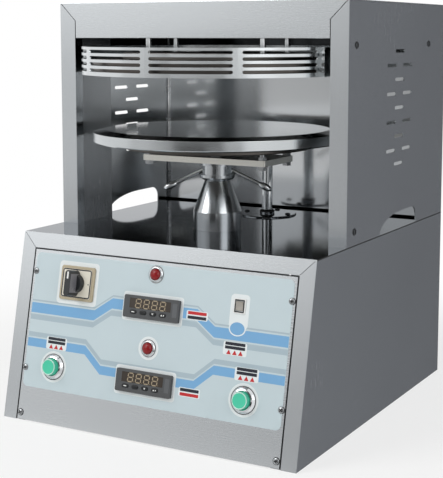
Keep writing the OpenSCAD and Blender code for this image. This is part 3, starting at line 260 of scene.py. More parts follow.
# Metal turned on an upright axis: rings at a spacing, smudges as wide as a hand
def turnedMetal(name, colour, rough, centre, ring, spread, depth):
    material, tree, shader = startMaterial(name, Metallic=1)
    place = addNode(tree, "ShaderNodeTexCoord").outputs["Object"]
    moved = addNode(tree, "ShaderNodeVectorMath", {0: place}, {1: centre}, operation="SUBTRACT")
    parts = addNode(tree, "ShaderNodeSeparateXYZ", {0: moved.outputs[0]})
    flat = addNode(tree, "ShaderNodeCombineXYZ", {0: parts.outputs[0], 1: parts.outputs[1]})
    radius = addNode(tree, "ShaderNodeVectorMath", {0: flat.outputs[0]}, operation="LENGTH")
    turned = addNode(tree, "ShaderNodeCombineXYZ", {0: radius.outputs["Value"], 2: parts.outputs[2]})
    lines = addNode(tree, "ShaderNodeTexNoise", {"Vector": turned.outputs[0]},
                    {"Scale": perMetre(ring), "Detail": 2})
    cloud = addNode(tree, "ShaderNodeTexNoise", {"Vector": place},
                    {"Scale": perMetre(smudges["turned"]), "Detail": 3})
    both = addNode(tree, "ShaderNodeMath", {0: lines.outputs[0], 1: cloud.outputs[0]}, operation="ADD")
    layFinish(tree, shader, colour, rough, spread, {
        "tintBy": cloud.outputs[0], "darker": 0.93, "roughBy": both.outputs[0], "reach": (0.6, 1.4),
        "raisedBy": lines.outputs[0], "strength": 0.3, "depth": depth})
    return material


# Moulded, cast, plated or printed: a grit of one size, and finger-wide patches that are a little darker and
# smoother
def evenSurface(name, colour, rough, grit, depth, change, spread=0.05, metallic=0, ior=1.5):
    material, tree, shader = startMaterial(name, Metallic=metallic)
    if not metallic:
        shader.inputs["IOR"].default_value = ior
    place = addNode(tree, "ShaderNodeTexCoord").outputs["Object"]
    fine = addNode(tree, "ShaderNodeTexNoise", {"Vector": place}, {"Scale": perMetre(grit), "Detail": 2})
    cloud = addNode(tree, "ShaderNodeTexNoise", {"Vector": place},
                    {"Scale": perMetre(smudges["patch"]), "Detail": 3})
    layFinish(tree, shader, colour, rough, spread, {
        "tintBy": cloud.outputs[0], "darker": 1 - change, "roughBy": cloud.outputs[0], "reach": (0.3, 0.7),
        "raisedBy": fine.outputs[0], "strength": 0.3, "depth": depth})
    return material


pressAxis = (0, -0.049, 0)
rodAxis = (0, 0.098, 0)
# Brushed stainless sheet, grain across: soft, faintly streaked reflections on the front
panelSteel = brushedMetal("brushedStainlessAcross", "#D3D7DA", 0.27, "across", spread=0.014, depth=0.002)
# The same sheet with its grain upright: the sides and the back read as one calm grey
sideSteel = brushedMetal("brushedStainlessUpright", "#CDD1D4", 0.24, "upright", spread=0.04, depth=0.01)
# Bright rolled stainless inside: mirrors the plates softly; its colour is a little brighter than plain
# stainless as painted light, and darkened above the upper plate as painted shade under the roof
innerSteel = brushedMetal("brightRolledStainless", "#D6D9DB", 0.13, "bright", spread=0.03, depth=0.004,
                          scorch={"from": 0.46, "to": 0.482, "colour": "#3A3C3E"})
# Guard: brushed round the hoop, so that its strips shine in long lines
guardSteel = brushedMetal("brushedStainlessHoop", "#D2D6D8", 0.2, "round", spread=0.04, depth=0.01)
# Deck: polished stainless, a near mirror of what stands on it; its colour is darkened, and greyed at a flat
# angle, as painted shade on what it mirrors
deckSteel = brushedMetal("polishedStainlessDeck", "#94989B", 0.055, "polished", spread=0.02, depth=0.002)
deckSteel.node_tree.nodes["Principled BSDF"].inputs["Specular Tint"].default_value = linear("#DEDFE1")
# Lower plate: turned steel, fine rings that blur what it mirrors
plateSteel = turnedMetal("turnedSteelPlate", "#C4C8CA", 0.1, pressAxis, ring=0.45, spread=0.03, depth=0.005)
# Its rim: brushed round, mirrors in soft upright bands
rimSteel = brushedMetal("brushedSteelRim", "#C4C8CA", 0.22, "round", spread=0.04, depth=0.006)
# Upper plate: turned steel with a brown-grey heat tint, its colour darkened further as painted shade, dark
# behind the guard's slots
heatedSteel = turnedMetal("heatTintedSteel", "#5F5B58", 0.32, pressAxis, ring=0.45, spread=0.06, depth=0.008)
# Bracket: ground flat bar, pale and even
bracketSteel = brushedMetal("groundFlatSteel", "#DAD9D2", 0.3, "polished", spread=0.05, depth=0.01)
# Column and collar: turned bright steel with sharp upright highlights
columnSteel = turnedMetal("turnedSteelColumn", "#B9BDC0", 0.19, pressAxis, ring=0.55, spread=0.03, depth=0.01)
# Guide rod: hard ground bar, nearly a mirror
rodSteel = turnedMetal("groundSteelRod", "#D2D5D7", 0.08, rodAxis, ring=0.38, spread=0.02, depth=0.006)
# Frame inside: rolled mild steel, dull
frameSteel = brushedMetal("rolledMildSteel", "#AEB2B5", 0.38, "rolledUp", spread=0.08, depth=0.04)
# Beam over the press: mild steel, its colour darkened as painted shade so that it sinks into the shadow
beamSteel = brushedMetal("blackedMildSteel", "#54575A", 0.4, "rolledAcross", spread=0.06, depth=0.02)
# Uprights beside the posts: pickled stainless with a soft shine, made paler than plain stainless as painted
# light inside the hood
uprightSteel = brushedMetal("pickledStainless", "#D6D8DA", 0.25, "upright", spread=0.03, depth=0.004)
# Beads in the corners: polished steel, a thin bright line
beadSteel = evenSurface("polishedSteelBead", "#F0F1F2", 0.25, grit=1.1, depth=0.01, change=0.04, metallic=1)
# Bezels, handles and studs: chrome plate on brass, bright with dark edges
chromeRim = evenSurface("chromePlatedBrass", "#D8DBDD", 0.12, grit=1.1, depth=0.01, change=0.04, metallic=1)
# Small fasteners: zinc plate, a cool dull shine
zincSteel = evenSurface("zincPlatedSteel", "#A4A7A9", 0.3, grit=1.1, depth=0.03, change=0.12, metallic=1)
# Screws in the sides and the back: the screws' steel darkened as painted shade, dark dots with a glint
blackSteel = evenSurface("blackedSteelScrew", "#4A4C4E", 0.25, grit=1.1, depth=0.03, change=0.12, metallic=1)
# Drive cases: enamel on cast iron, a slight orange peel
enamelGrey = evenSurface("greyEnamelOnCastIron", "#5E6468", 0.42, grit=2, depth=0.12, change=0.1)
# Heaters: cast aluminium, dark and scaled
heaterAlloy = evenSurface("castHeaterAluminium", "#6D6A66", 0.5, grit=1.4, depth=0.08, change=0.2, metallic=1)
# Cam and roller: hardened steel, a dark shine under a film of oil
hardSteel = evenSurface("hardenedOiledSteel", "#8F9193", 0.25, grit=1.25, depth=0.03, change=0.15, metallic=1)
# Bush: cast bronze, a warm dull shine
bushBronze = evenSurface("castBronze", "#A9834F", 0.35, grit=1.4, depth=0.03, change=0.15, metallic=1)
# Panel film: polyester with a fine texture, a pale ground with a soft sheen
filmPale = evenSurface("palePolyesterFilm", "#C3D2D7", 0.4, grit=0.55, depth=0.02, change=0.03)
# Inks screened on the film: flat, clear colours with the film's own sheen
filmBlue = evenSurface("blueScreenInk", "#76ABD6", 0.4, grit=0.55, depth=0.02, change=0.05)
filmGrey = evenSurface("greyScreenInk", "#A9BBC4", 0.4, grit=0.55, depth=0.02, change=0.05)
filmWhite = evenSurface("whiteScreenInk", "#E4EAEB", 0.4, grit=0.55, depth=0.02, change=0.03)
inkNavy = evenSurface("navyScreenInk", "#111827", 0.45, grit=0.55, depth=0.02, change=0.1)
inkRed = evenSurface("redScreenInk", "#C41E22", 0.45, grit=0.55, depth=0.02, change=0.1)
# Controllers: moulded ABS with a spark-eroded texture, matt charcoal, and a lighter printed stripe
caseBlack = evenSurface("charcoalMouldedAbs", "#47494B", 0.5, grit=0.85, depth=0.06, change=0.1, ior=1.54)
stripeGrey = evenSurface("greyCaseInk", "#5A5D60", 0.45, grit=0.85, depth=0.03, change=0.06)
# Windows: smoked acrylic, brown-black and glossy, with the tan of unlit segments and points
windowBlack = evenSurface("smokedAcrylic", "#3A322B", 0.15, grit=1.1, depth=0.01, change=0.12, ior=1.49)
digitTan = evenSurface("unlitLedSegment", "#A39379", 0.5, grit=0.65, depth=0.02, change=0.08)
digitDim = evenSurface("unlitLedPoint", "#6E5B42", 0.5, grit=0.65, depth=0.02, change=0.08)
# Keys: moulded silicone rubber, near black and soft; the white marks are moulded in
keyGrey = evenSurface("siliconeRubberKey", "#1E2022", 0.5, grit=0.65, depth=0.05, change=0.1, ior=1.42)
markWhite = evenSurface("whiteMouldedMark", "#E9EAE8", 0.45, grit=0.65, depth=0.02, change=0.04)
# Main switch: moulded nylon base and knob with a silky shine, cream ABS plate
switchTan = evenSurface("tanMouldedNylon", "#B5A98F", 0.45, grit=0.9, depth=0.05, change=0.06, ior=1.53)
switchCream = evenSurface("creamMouldedAbs", "#E6E1D2", 0.4, grit=0.75, depth=0.03, change=0.04, ior=1.54)
knobBlack = evenSurface("blackMouldedNylon", "#26282B", 0.35, grit=0.85, depth=0.05, change=0.12, ior=1.53)
# The knob's flanks: a grey copy of the knob's nylon, a painted highlight
flankGrey = evenSurface("greyMouldedNylon", "#77757A", 0.3, grit=0.85, depth=0.04, change=0.06, ior=1.53)
# Small rocker: moulded polycarbonate, warm grey
rockerGrey = evenSurface("greyMouldedPolycarbonate", "#A39E96", 0.4, grit=0.9, depth=0.04, change=0.06,
                         ior=1.58)
# Black rubber, matt: the rod's wiper, and painted shade in the joints, on the deck's side edges, in the
# screws' recesses, under the screw heads and round the feet of the lamps and buttons
rubberBlack = evenSurface("blackSealRubber", "#1D1E20", 0.65, grit=1, depth=0.08, change=0.12)
# Push buttons: moulded ABS, green; the paler face is painted light on the top, the white edge a painted
# highlight
capGreen = evenSurface("greenMouldedAbs", "#3DC4A0", 0.32, grit=0.85, depth=0.03, change=0.07, ior=1.54)
capPale = evenSurface("paleGreenMouldedAbs", "#45CBA6", 0.35, grit=0.85, depth=0.03, change=0.05, ior=1.54)
capWhite = evenSurface("whiteMouldedAbs", "#CFE9E0", 0.3, grit=0.85, depth=0.03, change=0.05, ior=1.54)
# Lamps: red moulded acrylic, deep and glossy
lensRed = evenSurface("redMouldedAcrylic", "#8E070E", 0.22, grit=2.5, depth=0.02, change=0.15, ior=1.49)
# Cable gland: moulded nylon, black with a dull sheen
glandBlack = evenSurface("blackNylonGland", "#2A2B2D", 0.45, grit=0.9, depth=0.05, change=0.1, ior=1.53)
print("materials made")

# Finish of each solid; the controllers' keys, which aren't listed, are of rubber
finishes = {
    "base_side_left": sideSteel, "base_side_right": sideSteel, "deck": deckSteel, "base_floor": frameSteel,
    "rear_cover": sideSteel, "cable_gland": glandBlack, "control_panel": panelSteel,
    "panel_overlay": filmPale, "sheet_screws": zincSteel, "hood_side_left": sideSteel,
    "hood_side_right": sideSteel, "hood_roof": panelSteel, "hood_back_wall": innerSteel,
    "uprights": uprightSteel, "top_beam": beamSteel, "press_bed": frameSteel, "upper_plate": heatedSteel,
    "upper_heater": heaterAlloy, "upper_studs": chromeRim, "guard_front": guardSteel,
    "guard_rear": guardSteel, "guard_bolts": zincSteel, "ram_bush": bushBronze, "guide_flange": deckSteel,
    "gearbox": enamelGrey, "gear_motor": enamelGrey, "shaft_bearing": enamelGrey, "switch_base": switchTan,
    "switch_plate": switchCream, "controllers": caseBlack, "controller_windows": windowBlack,
    "lamp_rims": chromeRim, "lamp_lenses": lensRed, "button_rims": chromeRim, "rocker_frame": markWhite,
    "ram": columnSteel, "roller_pin": hardSteel, "cam_roller": hardSteel, "cam": hardSteel,
    "cam_shaft": hardSteel, "bracket": bracketSteel, "lower_studs": zincSteel, "lower_plate": plateSteel,
    "lower_heater": heaterAlloy, "guide_rod": rodSteel, "setting_collar": columnSteel,
    "collar_handles": chromeRim, "switch_knob": knobBlack, "button_left": capGreen,
    "button_right": capGreen, "rocker": rockerGrey,
}
for nodeName, node in nodes.items():
    node.data.materials.clear()
    node.data.materials.append(finishes.get(nodeName, keyGrey))
print("finishes given to the solids")


def addPiece(name, mesh, body, *stoodFor):
    piece = addObject(name, mesh)
    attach(piece, body)
    if stoodFor:
        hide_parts(*stoodFor)
    return piece


def closeMesh(made, name, *materials):
    mesh = bpy.data.meshes.new(name)
    made.to_mesh(mesh)
    made.free()
    for material in materials:
        mesh.materials.append(material)
    return mesh


# Smooth shading that breaks at edges with a sharper turn than this, in degrees
def smoothUpTo(made, turn):
    for face in made.faces:
        face.smooth = True
    for edge in made.edges:
        edge.smooth = len(edge.link_faces) != 2 or edge.calc_face_angle() < math.radians(turn)


# Faces between two rings of points, either of which may be a single point
def bridge(made, near, far):
    steps = max(len(near), len(far))
    faces = []
    for i in range(steps):
        j = (i + 1) % steps
        corners = [near[i % len(near)], near[j % len(near)], far[j % len(far)], far[i % len(far)]]
        faces.append(made.faces.new(list(dict.fromkeys(corners))))
    return faces


# Gives the chosen faces of a piece another finish
def paintFaces(piece, material, chosen):
    mesh = piece.data
    if mesh.materials.find(material.name) < 0:
        mesh.materials.append(material)
    index = mesh.materials.find(material.name)
    for face in mesh.polygons:
        if chosen(face):
            face.material_index = index


# Weld in metres; largest turns in degrees of a flat face, and of the smooth edges of eased and turned pieces
easing = {"weld": 0.000002, "flat": 0.4, "eased": 36, "turned": 38}


# A copy of a solid with its sharp edges eased, which stands for the solid
def easeEdges(name, body, width, sharpTurn=40, steps=2):
    made = bmesh.new()
    made.from_mesh(nodes[name].data)
    bmesh.ops.remove_doubles(made, verts=made.verts, dist=easing["weld"])
    bmesh.ops.dissolve_limit(made, angle_limit=math.radians(easing["flat"]), verts=made.verts,
                             edges=made.edges)
    sharp = [edge for edge in made.edges
             if len(edge.link_faces) == 2 and edge.calc_face_angle() > math.radians(sharpTurn)]
    bmesh.ops.bevel(made, geom=sharp, offset=width, segments=steps, profile=0.5, affect="EDGES",
                    clamp_overlap=True)
    smoothUpTo(made, easing["eased"])
    piece = addPiece(name + "Eased", closeMesh(made, name + "Eased", finishes[name]), body, name)
    piece.modifiers.new("flatFaces", "WEIGHTED_NORMAL").keep_sharp = True
    return piece


easedWidths = {
    "base_side_left": 0.0006, "base_side_right": 0.0006, "deck": 0.0006, "control_panel": 0.0004,
    "hood_side_left": 0.0006, "hood_side_right": 0.0006, "hood_roof": 0.0006, "rear_cover": 0.0004,
    "controllers": 0.0008, "switch_base": 0.0009, "switch_plate": 0.0004, "rocker_frame": 0.0004,
}
eased = {nodeName: easeEdges(nodeName, "frame", width) for nodeName, width in easedWidths.items()}
eased["bracket"] = easeEdges("bracket", "carrier", width=0.0008)
eased["lower_plate"] = easeEdges("lower_plate", "carrier", width=0.0004, sharpTurn=10)
eased["switch_knob"] = easeEdges("switch_knob", "main_switch", width=0.0011, steps=3)
# How squarely a chosen face looks along an axis, from 0, across it, to 1, straight along it
looks = {"partly": 0.3, "mostly": 0.5, "squarely": 0.9}
# The lower plate's rim is brushed, its face turned
paintFaces(eased["lower_plate"], rimSteel, lambda face: abs(face.normal.z) < looks["mostly"])
# The knob's flat flanks are painted grey, a painted highlight
flankArea = 0.00005
paintFaces(eased["switch_knob"], flankGrey,
           lambda face: abs(face.normal.x) > looks["squarely"] and face.area > flankArea)
# The hood's sides take the brighter inner finish on their inner faces, brighter than the outer faces as
# painted light
paintFaces(eased["hood_side_left"], innerSteel, lambda face: face.normal.x > looks["partly"])
paintFaces(eased["hood_side_right"], innerSteel, lambda face: face.normal.x < -looks["partly"])
# The deck's side edges are painted black as painted shade in the joint, and its folded front strip is brushed
# as the panels are
deckEnds = {"side": 0.2105, "front": -0.18}
paintFaces(eased["deck"], rubberBlack,
           lambda face: abs(face.center.x) > deckEnds["side"] and abs(face.normal.x) > looks["partly"])
paintFaces(eased["deck"], panelSteel,
           lambda face: face.normal.y < -looks["mostly"] and face.center.y < deckEnds["front"])
print("edges eased")

# The panel's own frame: across, up the slope and out of it
slope = {"front": -0.244, "run": 0.052, "rise": 0.239}
lean = math.atan(slope["run"] / slope["rise"])
panelFrame = Matrix(((1, 0, 0, 0), (0, math.sin(lean), -math.cos(lean), slope["front"]),
                     (0, math.cos(lean), math.sin(lean), 0), (0, 0, 0, 1)))
intoPanel = panelFrame.inverted()


# A place on the panel, in millimetres
def onPanel(u, v, w=0):
    return panelFrame @ Matrix.Translation(Vector((u, v, w)) / 1000)


# The ledges behind the panel's open joints, between two depths, are painted black as painted shade in the
# joints
seal = {"deep": -0.006, "shallow": -0.0009}


def isLedge(face):
    facesOut = (intoPanel.to_3x3() @ face.normal).z > looks["mostly"]
    return facesOut and seal["deep"] < (intoPanel @ face.center).z < seal["shallow"]


for nodeName in ("deck", "base_side_left", "base_side_right"):
    paintFaces(eased[nodeName], rubberBlack, isLedge)


# Raised flat shapes on the panel: outlines in millimetres across and up the slope, between two heights
def printShapes(name, outlines, low, high, material, body="frame"):
    made = bmesh.new()
    for outline in outlines:
        under = [made.verts.new(panelFrame @ (Vector((u, v, low)) / 1000)) for u, v in outline]
        over = [made.verts.new(panelFrame @ (Vector((u, v, high)) / 1000)) for u, v in outline]
        made.faces.new(over)
        made.faces.new(list(reversed(under)))
        bridge(made, under, over)
    bmesh.ops.recalc_face_normals(made, faces=made.faces)
    return addPiece(name, closeMesh(made, name, material), body)


def turns(steps):
    return [2 * math.pi * i / steps for i in range(steps)]


def disc(u, v, r, steps=40, rise=None):
    return [(u + r * math.cos(a), v + (rise or r) * math.sin(a)) for a in turns(steps)]


def roundBox(u, v, wide, high, r, steps=8):
    points = []
    for cu, cv, start in ((1, 1, 0), (-1, 1, 90), (-1, -1, 180), (1, -1, 270)):
        for i in range(steps + 1):
            a = math.radians(start + 90 * i / steps)
            points.append((u + cu * (wide / 2 - r) + r * math.cos(a),
                           v + cv * (high / 2 - r) + r * math.sin(a)))
    return points


# A line round a box, as a row of short strips
def boxLine(u, v, wide, high, r, line, leastRound=0.3):
    outer = roundBox(u, v, wide, high, r)
    inner = roundBox(u, v, wide - 2 * line, high - 2 * line, max(r - line, leastRound))
    count = len(outer)
    return [[outer[i], outer[(i + 1) % count], inner[(i + 1) % count], inner[i]] for i in range(count)]


# Places of the controls on the panel, in millimetres across and up the slope
switchAt = (-118, 184)
rockerAt = (119, 181)
controllerPlaces = ((-2, 73), (-2, 164.5))
lampPlaces = ((-2, 115.5), (-2, 207))
buttonPlaces = {"button_left": (-142, 74), "button_right": (136, 72)}

# Film's print: straight stepped bands of blue and grey, white fields round the controls, in ink thicknesses
# that keep one print above the other
film = {"top": 0.4, "half": 187, "band": 0.06, "field": 0.1, "foot": 0.12, "sign": 0.16}


def printFilm(name, outlines, ink, material):
    return printShapes(name, outlines, film["top"], film["top"] + film[ink], material)


def band(run, low, high):
    return [(u, v + low) for u, v in run] + [(u, v + high) for u, v in reversed(run)]


upperRun = [(-film["half"], 140), (-88, 140), (-62, 158), (62, 158), (88, 140), (film["half"], 140)]
lowerRun = [(-film["half"], 96), (-96, 96), (-70, 74), (66, 74), (92, 96), (film["half"], 96)]
printFilm("printBlueBands", [band(upperRun, 0, 13), band(lowerRun, 0, 11)], "band", filmBlue)
printFilm("printGreyBands", [band(upperRun, -9, -2), band(lowerRun, 13, 19), band(upperRun, 15, 17)],
          "band", filmGrey)
fieldSizes = {"switch": (62, 55, 5), "rocker": (25.5, 41, 5), "controller": (88, 36, 4),
              "lamps": (14.5, 11.3)}
rockerField = {"drop": 6.5, "foot": (118.3, 154), "white": (11.4, 9), "blue": (9.8, 7.6), "steps": 48}
fields = [roundBox(*switchAt, *fieldSizes["switch"]),
          roundBox(rockerAt[0], rockerAt[1] - rockerField["drop"], *fieldSizes["rocker"])]
fields += [roundBox(*place, *fieldSizes["controller"]) for place in controllerPlaces]
fields += [disc(*place, r) for place, r in zip(lampPlaces, fieldSizes["lamps"])]
printFilm("printFields", fields, "field", filmWhite)
for pieceName, size, ink, colour in (("printFoot", "white", "foot", filmWhite),
                                     ("printDisc", "blue", "sign", filmBlue)):
    r, rise = rockerField[size]
    printFilm(pieceName, [disc(*rockerField["foot"], r, rockerField["steps"], rise)], ink, colour)
print("film printed")


# A turned part at one or more places: its outline in millimetres from the axis and along it, swept round
def turnShape(name, outline, places, body, material, steps=64, stoodFor=()):
    made = bmesh.new()
    for place in places:
        rings = []
        for r, w in outline:
            angles = turns(steps) if r else [0]
            rings.append([made.verts.new(place @ (Vector((r * math.cos(a), r * math.sin(a), w)) / 1000))
                          for a in angles])
        for near, far in zip(rings, rings[1:]):
            bridge(made, near, far)
    bmesh.ops.recalc_face_normals(made, faces=made.faces)
    smoothUpTo(made, easing["turned"])
    return addPiece(name, closeMesh(made, name, material), body, *stoodFor)


# Lamps: ridged lens in a stepped chrome bezel, with a dark ring round its foot as painted shadow
lamp = {
    "bezel": [(7.3, -1), (7.3, 2.2), (7.7, 2.9), (8.3, 3), (9.2, 2.6), (9.6, 1.9), (10.3, 1.5), (10.5, 1),
              (10.5, 0.4)],
    "lens": [(7, -0.6), (7, 2.6), (6.6, 4.1), (5.8, 5.1), (5.2, 5.5), (4.9, 5.3), (4.5, 5.7), (3.8, 6.1),
             (3.3, 6.2), (3, 5.9), (2.6, 6.2), (1.6, 6.45), (0, 6.5)],
    "footShadow": [(10.5, 0.4), (10.9, 0.45), (11, 0.7), (10.6, 0.9)],
}
lampSpots = [onPanel(*place) for place in lampPlaces]
turnShape("lampBezels", lamp["bezel"], lampSpots, "frame", chromeRim, stoodFor=("lamp_rims",))
turnShape("lampLenses", lamp["lens"], lampSpots, "frame", lensRed, stoodFor=("lamp_lenses",))
turnShape("lampGaskets", lamp["footShadow"], lampSpots, "frame", rubberBlack)

# Push buttons: a green cap whose face is paler as painted light and whose edge is white as a painted
# highlight, a dark ring under the bezel as painted shadow, and a white ring of print that is open where the
# cap goes in
button = {
    "cap": [(10.5, 2), (10.5, 10.6), (10.4, 11.1), (10.1, 11.5)],
    "edge": [(10.15, 11.45), (9.9, 11.8), (9.5, 11.95), (9.1, 11.8), (8.9, 11.5)],
    "face": [(8.95, 11.5), (8.2, 11.35), (0, 11.25)],
    "footShadow": [(15.9, 0.4), (16.7, 0.45), (16.8, 0.9), (16.1, 1.3)],
    "ring": (13, 20), "steps": 72,
}
for buttonName, place in buttonPlaces.items():
    spots = [onPanel(*place)]
    turnShape(buttonName + "Cap", button["cap"], spots, buttonName, capGreen, button["steps"], (buttonName,))
    turnShape(buttonName + "Edge", button["edge"], spots, buttonName, capWhite, button["steps"])
    turnShape(buttonName + "Face", button["face"], spots, buttonName, capPale, button["steps"])
buttonSpots = [onPanel(*place) for place in buttonPlaces.values()]
turnShape("buttonGaskets", button["footShadow"], buttonSpots, "frame", rubberBlack, button["steps"])
inner, outer = button["ring"]
low, high = film["top"], film["top"] + film["field"]
turnShape("printRings", [(inner, low), (inner, high), (outer, high), (outer, low)], buttonSpots, "frame",
          filmWhite, button["steps"])
print("lamps and buttons made")


# One bar of a digit, pointed at both ends
def digitBar(x, y, half, bar, upright):
    along = half - bar / 2
    outline = [(-half, 0), (-along, -bar / 2), (along, -bar / 2),
               (half, 0), (along, bar / 2), (-along, bar / 2)]
    return [(x + b, y + a) if upright else (x + a, y + b) for a, b in outline]


# Seven bars of a digit that leans a little, as outlines on the panel, with a gap between the bars' ends
def digitBars(u, v, wide, high, bar, gap, lean):
    bars = [digitBar(0, y, wide / 2 - gap, bar, False) for y in (high / 2, 0, -high / 2)]
    bars += [digitBar(x, y, high / 4 - gap, bar, True)
             for y in (high / 4, -high / 4) for x in (-wide / 2, wide / 2)]
    return [[(u + x + lean * y, v + y) for x, y in outline] for outline in bars]


# Controllers: four unlit digits with their points in the window, a pale stripe at the case's right end
display = {
    "face": 5, "middle": (-0.9, 4.4), "count": 4, "pitch": 11.8, "ink": 0.05,
    "digit": {"wide": 7.2, "high": 10.6, "bar": 1.35, "gap": 0.4725, "lean": 0.1},
    "point": {"across": 4.9, "down": 4.9, "r": 0.65, "steps": 12},
    "stripe": {"across": 34.4, "up": 1, "size": (6.5, 17, 0.8), "ink": 0.08},
}
point, stripe = display["point"], display["stripe"]
digits, points, stripes = [], [], []
for u, v in controllerPlaces:
    middle = v + display["middle"][1]
    for i in range(display["count"]):
        at = u + display["middle"][0] + (i - (display["count"] - 1) / 2) * display["pitch"]
        digits += digitBars(at, middle, **display["digit"])
        points.append(disc(at + point["across"], middle - point["down"], point["r"], point["steps"]))
    stripes.append(roundBox(u + stripe["across"], v + stripe["up"], *stripe["size"]))
printShapes("unlitDigits", digits, display["face"], display["face"] + display["ink"], digitTan)
printShapes("unlitPoints", points, display["face"], display["face"] + display["ink"], digitDim)
printShapes("caseStripes", stripes, display["face"], display["face"] + stripe["ink"], stripeGrey)

# Keys: black rubber lozenges with white marks. Each layer has its inset and its height
keyCap = {
    "across": (-25, -10.7, 3.6, 17.9), "down": 6.6, "wide": 9.5, "high": 4.6, "round": 2.2, "steps": 6,
    "layers": ((0, 3.6), (0, 5.3), (0.25, 5.6), (0.7, 5.75), (1.3, 5.8)), "rounding": 0.8,
    "mark": (5.79, 5.84),
}
keyMarks = {
    1: [roundBox(0, 0, 4.4, 1.1, 0.5, 3)],
    2: [],
    3: [[(-1.5, 0.9), (0, -1.1), (1.5, 0.9)]],
    4: [[(-2.6, -0.9), (-1.1, 1.1), (0.4, -0.9)], roundBox(1.9, 0, 1.5, 1.5, 0.7, 4)],
}
for row, (u, v) in zip(("lower", "upper"), controllerPlaces):
    for i, across in enumerate(keyCap["across"], 1):
        keyName = "key_" + row + "_" + str(i)
        spot = onPanel(u + across, v - keyCap["down"])
        made = bmesh.new()
        loops = []
        for inset, w in keyCap["layers"]:
            outline = roundBox(0, 0, keyCap["wide"] - 2 * inset, keyCap["high"] - 2 * inset,
                               keyCap["round"] - inset * keyCap["rounding"], keyCap["steps"])
            loops.append([made.verts.new(spot @ (Vector((x, y, w)) / 1000)) for x, y in outline])
        for near, far in zip(loops, loops[1:]):
            bridge(made, near, far)
        made.faces.new(loops[-1])
        made.faces.new(list(reversed(loops[0])))
        bmesh.ops.recalc_face_normals(made, faces=made.faces)
        for face in made.faces:
            face.smooth = len(face.verts) == 4
        addPiece(keyName + "Cap", closeMesh(made, keyName + "Cap", keyGrey), keyName, keyName)
        marks = [[(u + across + x, v - keyCap["down"] + y) for x, y in mark] for mark in keyMarks[i]]
        if marks:
            printShapes(keyName + "Mark", marks, *keyCap["mark"], markWhite, keyName)
print("controllers made")

# Main switch: dark line and dots on its plate, white stripe on the knob. The rocker sits in a dark line too.
# Plate, knob and rocker frame have the heights that their print lies between
switchMarks = {
    "plate": (4.2, 4.28), "line": {"wide": 44.6, "high": 36.6, "r": 3, "line": 1.5},
    "dots": ((0, 14.6), (18.4, 0)), "dot": {"r": 0.8, "steps": 16},
    "knob": (24.45, 24.56), "stripe": {"wide": 2.4, "high": 9, "r": 0.6, "steps": 4}, "stripeUp": 10,
    "rockerFrame": (2, 2.06), "rocker": {"wide": 13.2, "high": 15.6, "r": 0.6, "line": 1.6},
}
printShapes("switchLine", boxLine(*switchAt, **switchMarks["line"]), *switchMarks["plate"], inkNavy)
dots = [disc(switchAt[0] + u, switchAt[1] + v, **switchMarks["dot"]) for u, v in switchMarks["dots"]]
printShapes("switchDots", dots, *switchMarks["plate"], inkNavy)
printShapes("rockerLine", boxLine(*rockerAt, **switchMarks["rocker"]), *switchMarks["rockerFrame"], knobBlack)
knobStripe = roundBox(switchAt[0], switchAt[1] + switchMarks["stripeUp"], **switchMarks["stripe"])
printShapes("knobStripe", [knobStripe], *switchMarks["knob"], markWhite, "main_switch")
print("switch marked")

# Pictograms: two bars for the plates, triangles for heat, a red bar for the plate that a controller heats
heatSigns = {
    "places": ((-141, 106), (137, 104), (118, 132)), "back": (32, 16, 2.5), "drop": 2,
    "bar": (27, 3.7, 0.5, 3), "bars": (3.6, -1), "heats": (-8, 0, 8), "half": 3.2, "foot": -9.2, "tip": -3.6,
}
plateSigns = {
    "places": ((62, 163, 1), (62, 70, -1)), "back": (30, 11, 2), "bar": (26, 3.8, 0.5, 3), "apart": 2.7,
}
backs, bars, heats, reds = [], [], [], []
for u, v in heatSigns["places"]:
    backs.append(roundBox(u, v - heatSigns["drop"], *heatSigns["back"]))
    bars += [roundBox(u, v + up, *heatSigns["bar"]) for up in heatSigns["bars"]]
    for x in heatSigns["heats"]:
        foot, tip, half = v + heatSigns["foot"], v + heatSigns["tip"], heatSigns["half"]
        heats.append([(u + x - half, foot), (u + x, tip), (u + x + half, foot)])
for u, v, hotSide in plateSigns["places"]:
    backs.append(roundBox(u, v, *plateSigns["back"]))
    bars.append(roundBox(u, v - hotSide * plateSigns["apart"], *plateSigns["bar"]))
    reds.append(roundBox(u, v + hotSide * plateSigns["apart"], *plateSigns["bar"]))
printFilm("signBacks", backs, "field", filmWhite)
printFilm("signBars", bars, "sign", inkNavy)
printFilm("signHeat", heats + reds, "sign", inkRed)
print("pictograms printed")

# Screws' places: on the panel in millimetres, on the sides, the back and the flange in metres. Each row's
# recesses start at an angle and turn by a step from screw to screw
screwRows = {
    "panel": {"across": 186, "up": (9.5, 68, 194), "start": 20, "step": 31},
    "side": {"x": 0.2125, "spots": ((-0.083, 0.256), (-0.083, 0.485), (0.175, 0.485)),
             "start": 10, "step": 37},
    "back": {"x": 0.203, "y": 0.244, "up": (0.035, 0.204, 0.274, 0.505), "start": 5, "step": 29},
    "flange": {"r": 0.033, "z": 0.241, "angles": (0, 90, 180)},
}
panelScrews, bodyScrews, flangeScrews = [], [], []
for s in (-1, 1):
    row = screwRows["panel"]
    for i, v in enumerate(row["up"]):
        panelScrews.append((onPanel(s * row["across"], v), row["start"] + row["step"] * i))
    row = screwRows["side"]
    for i, (y, z) in enumerate(row["spots"]):
        place = Matrix.Translation((s * row["x"], y, z)) @ Matrix.Rotation(s * math.pi / 2, 4, "Y")
        bodyScrews.append((place, row["start"] + row["step"] * i))
    row = screwRows["back"]
    for i, z in enumerate(row["up"]):
        place = Matrix.Translation((s * row["x"], row["y"], z)) @ Matrix.Rotation(-math.pi / 2, 4, "X")
        bodyScrews.append((place, row["start"] + row["step"] * i))
row = screwRows["flange"]
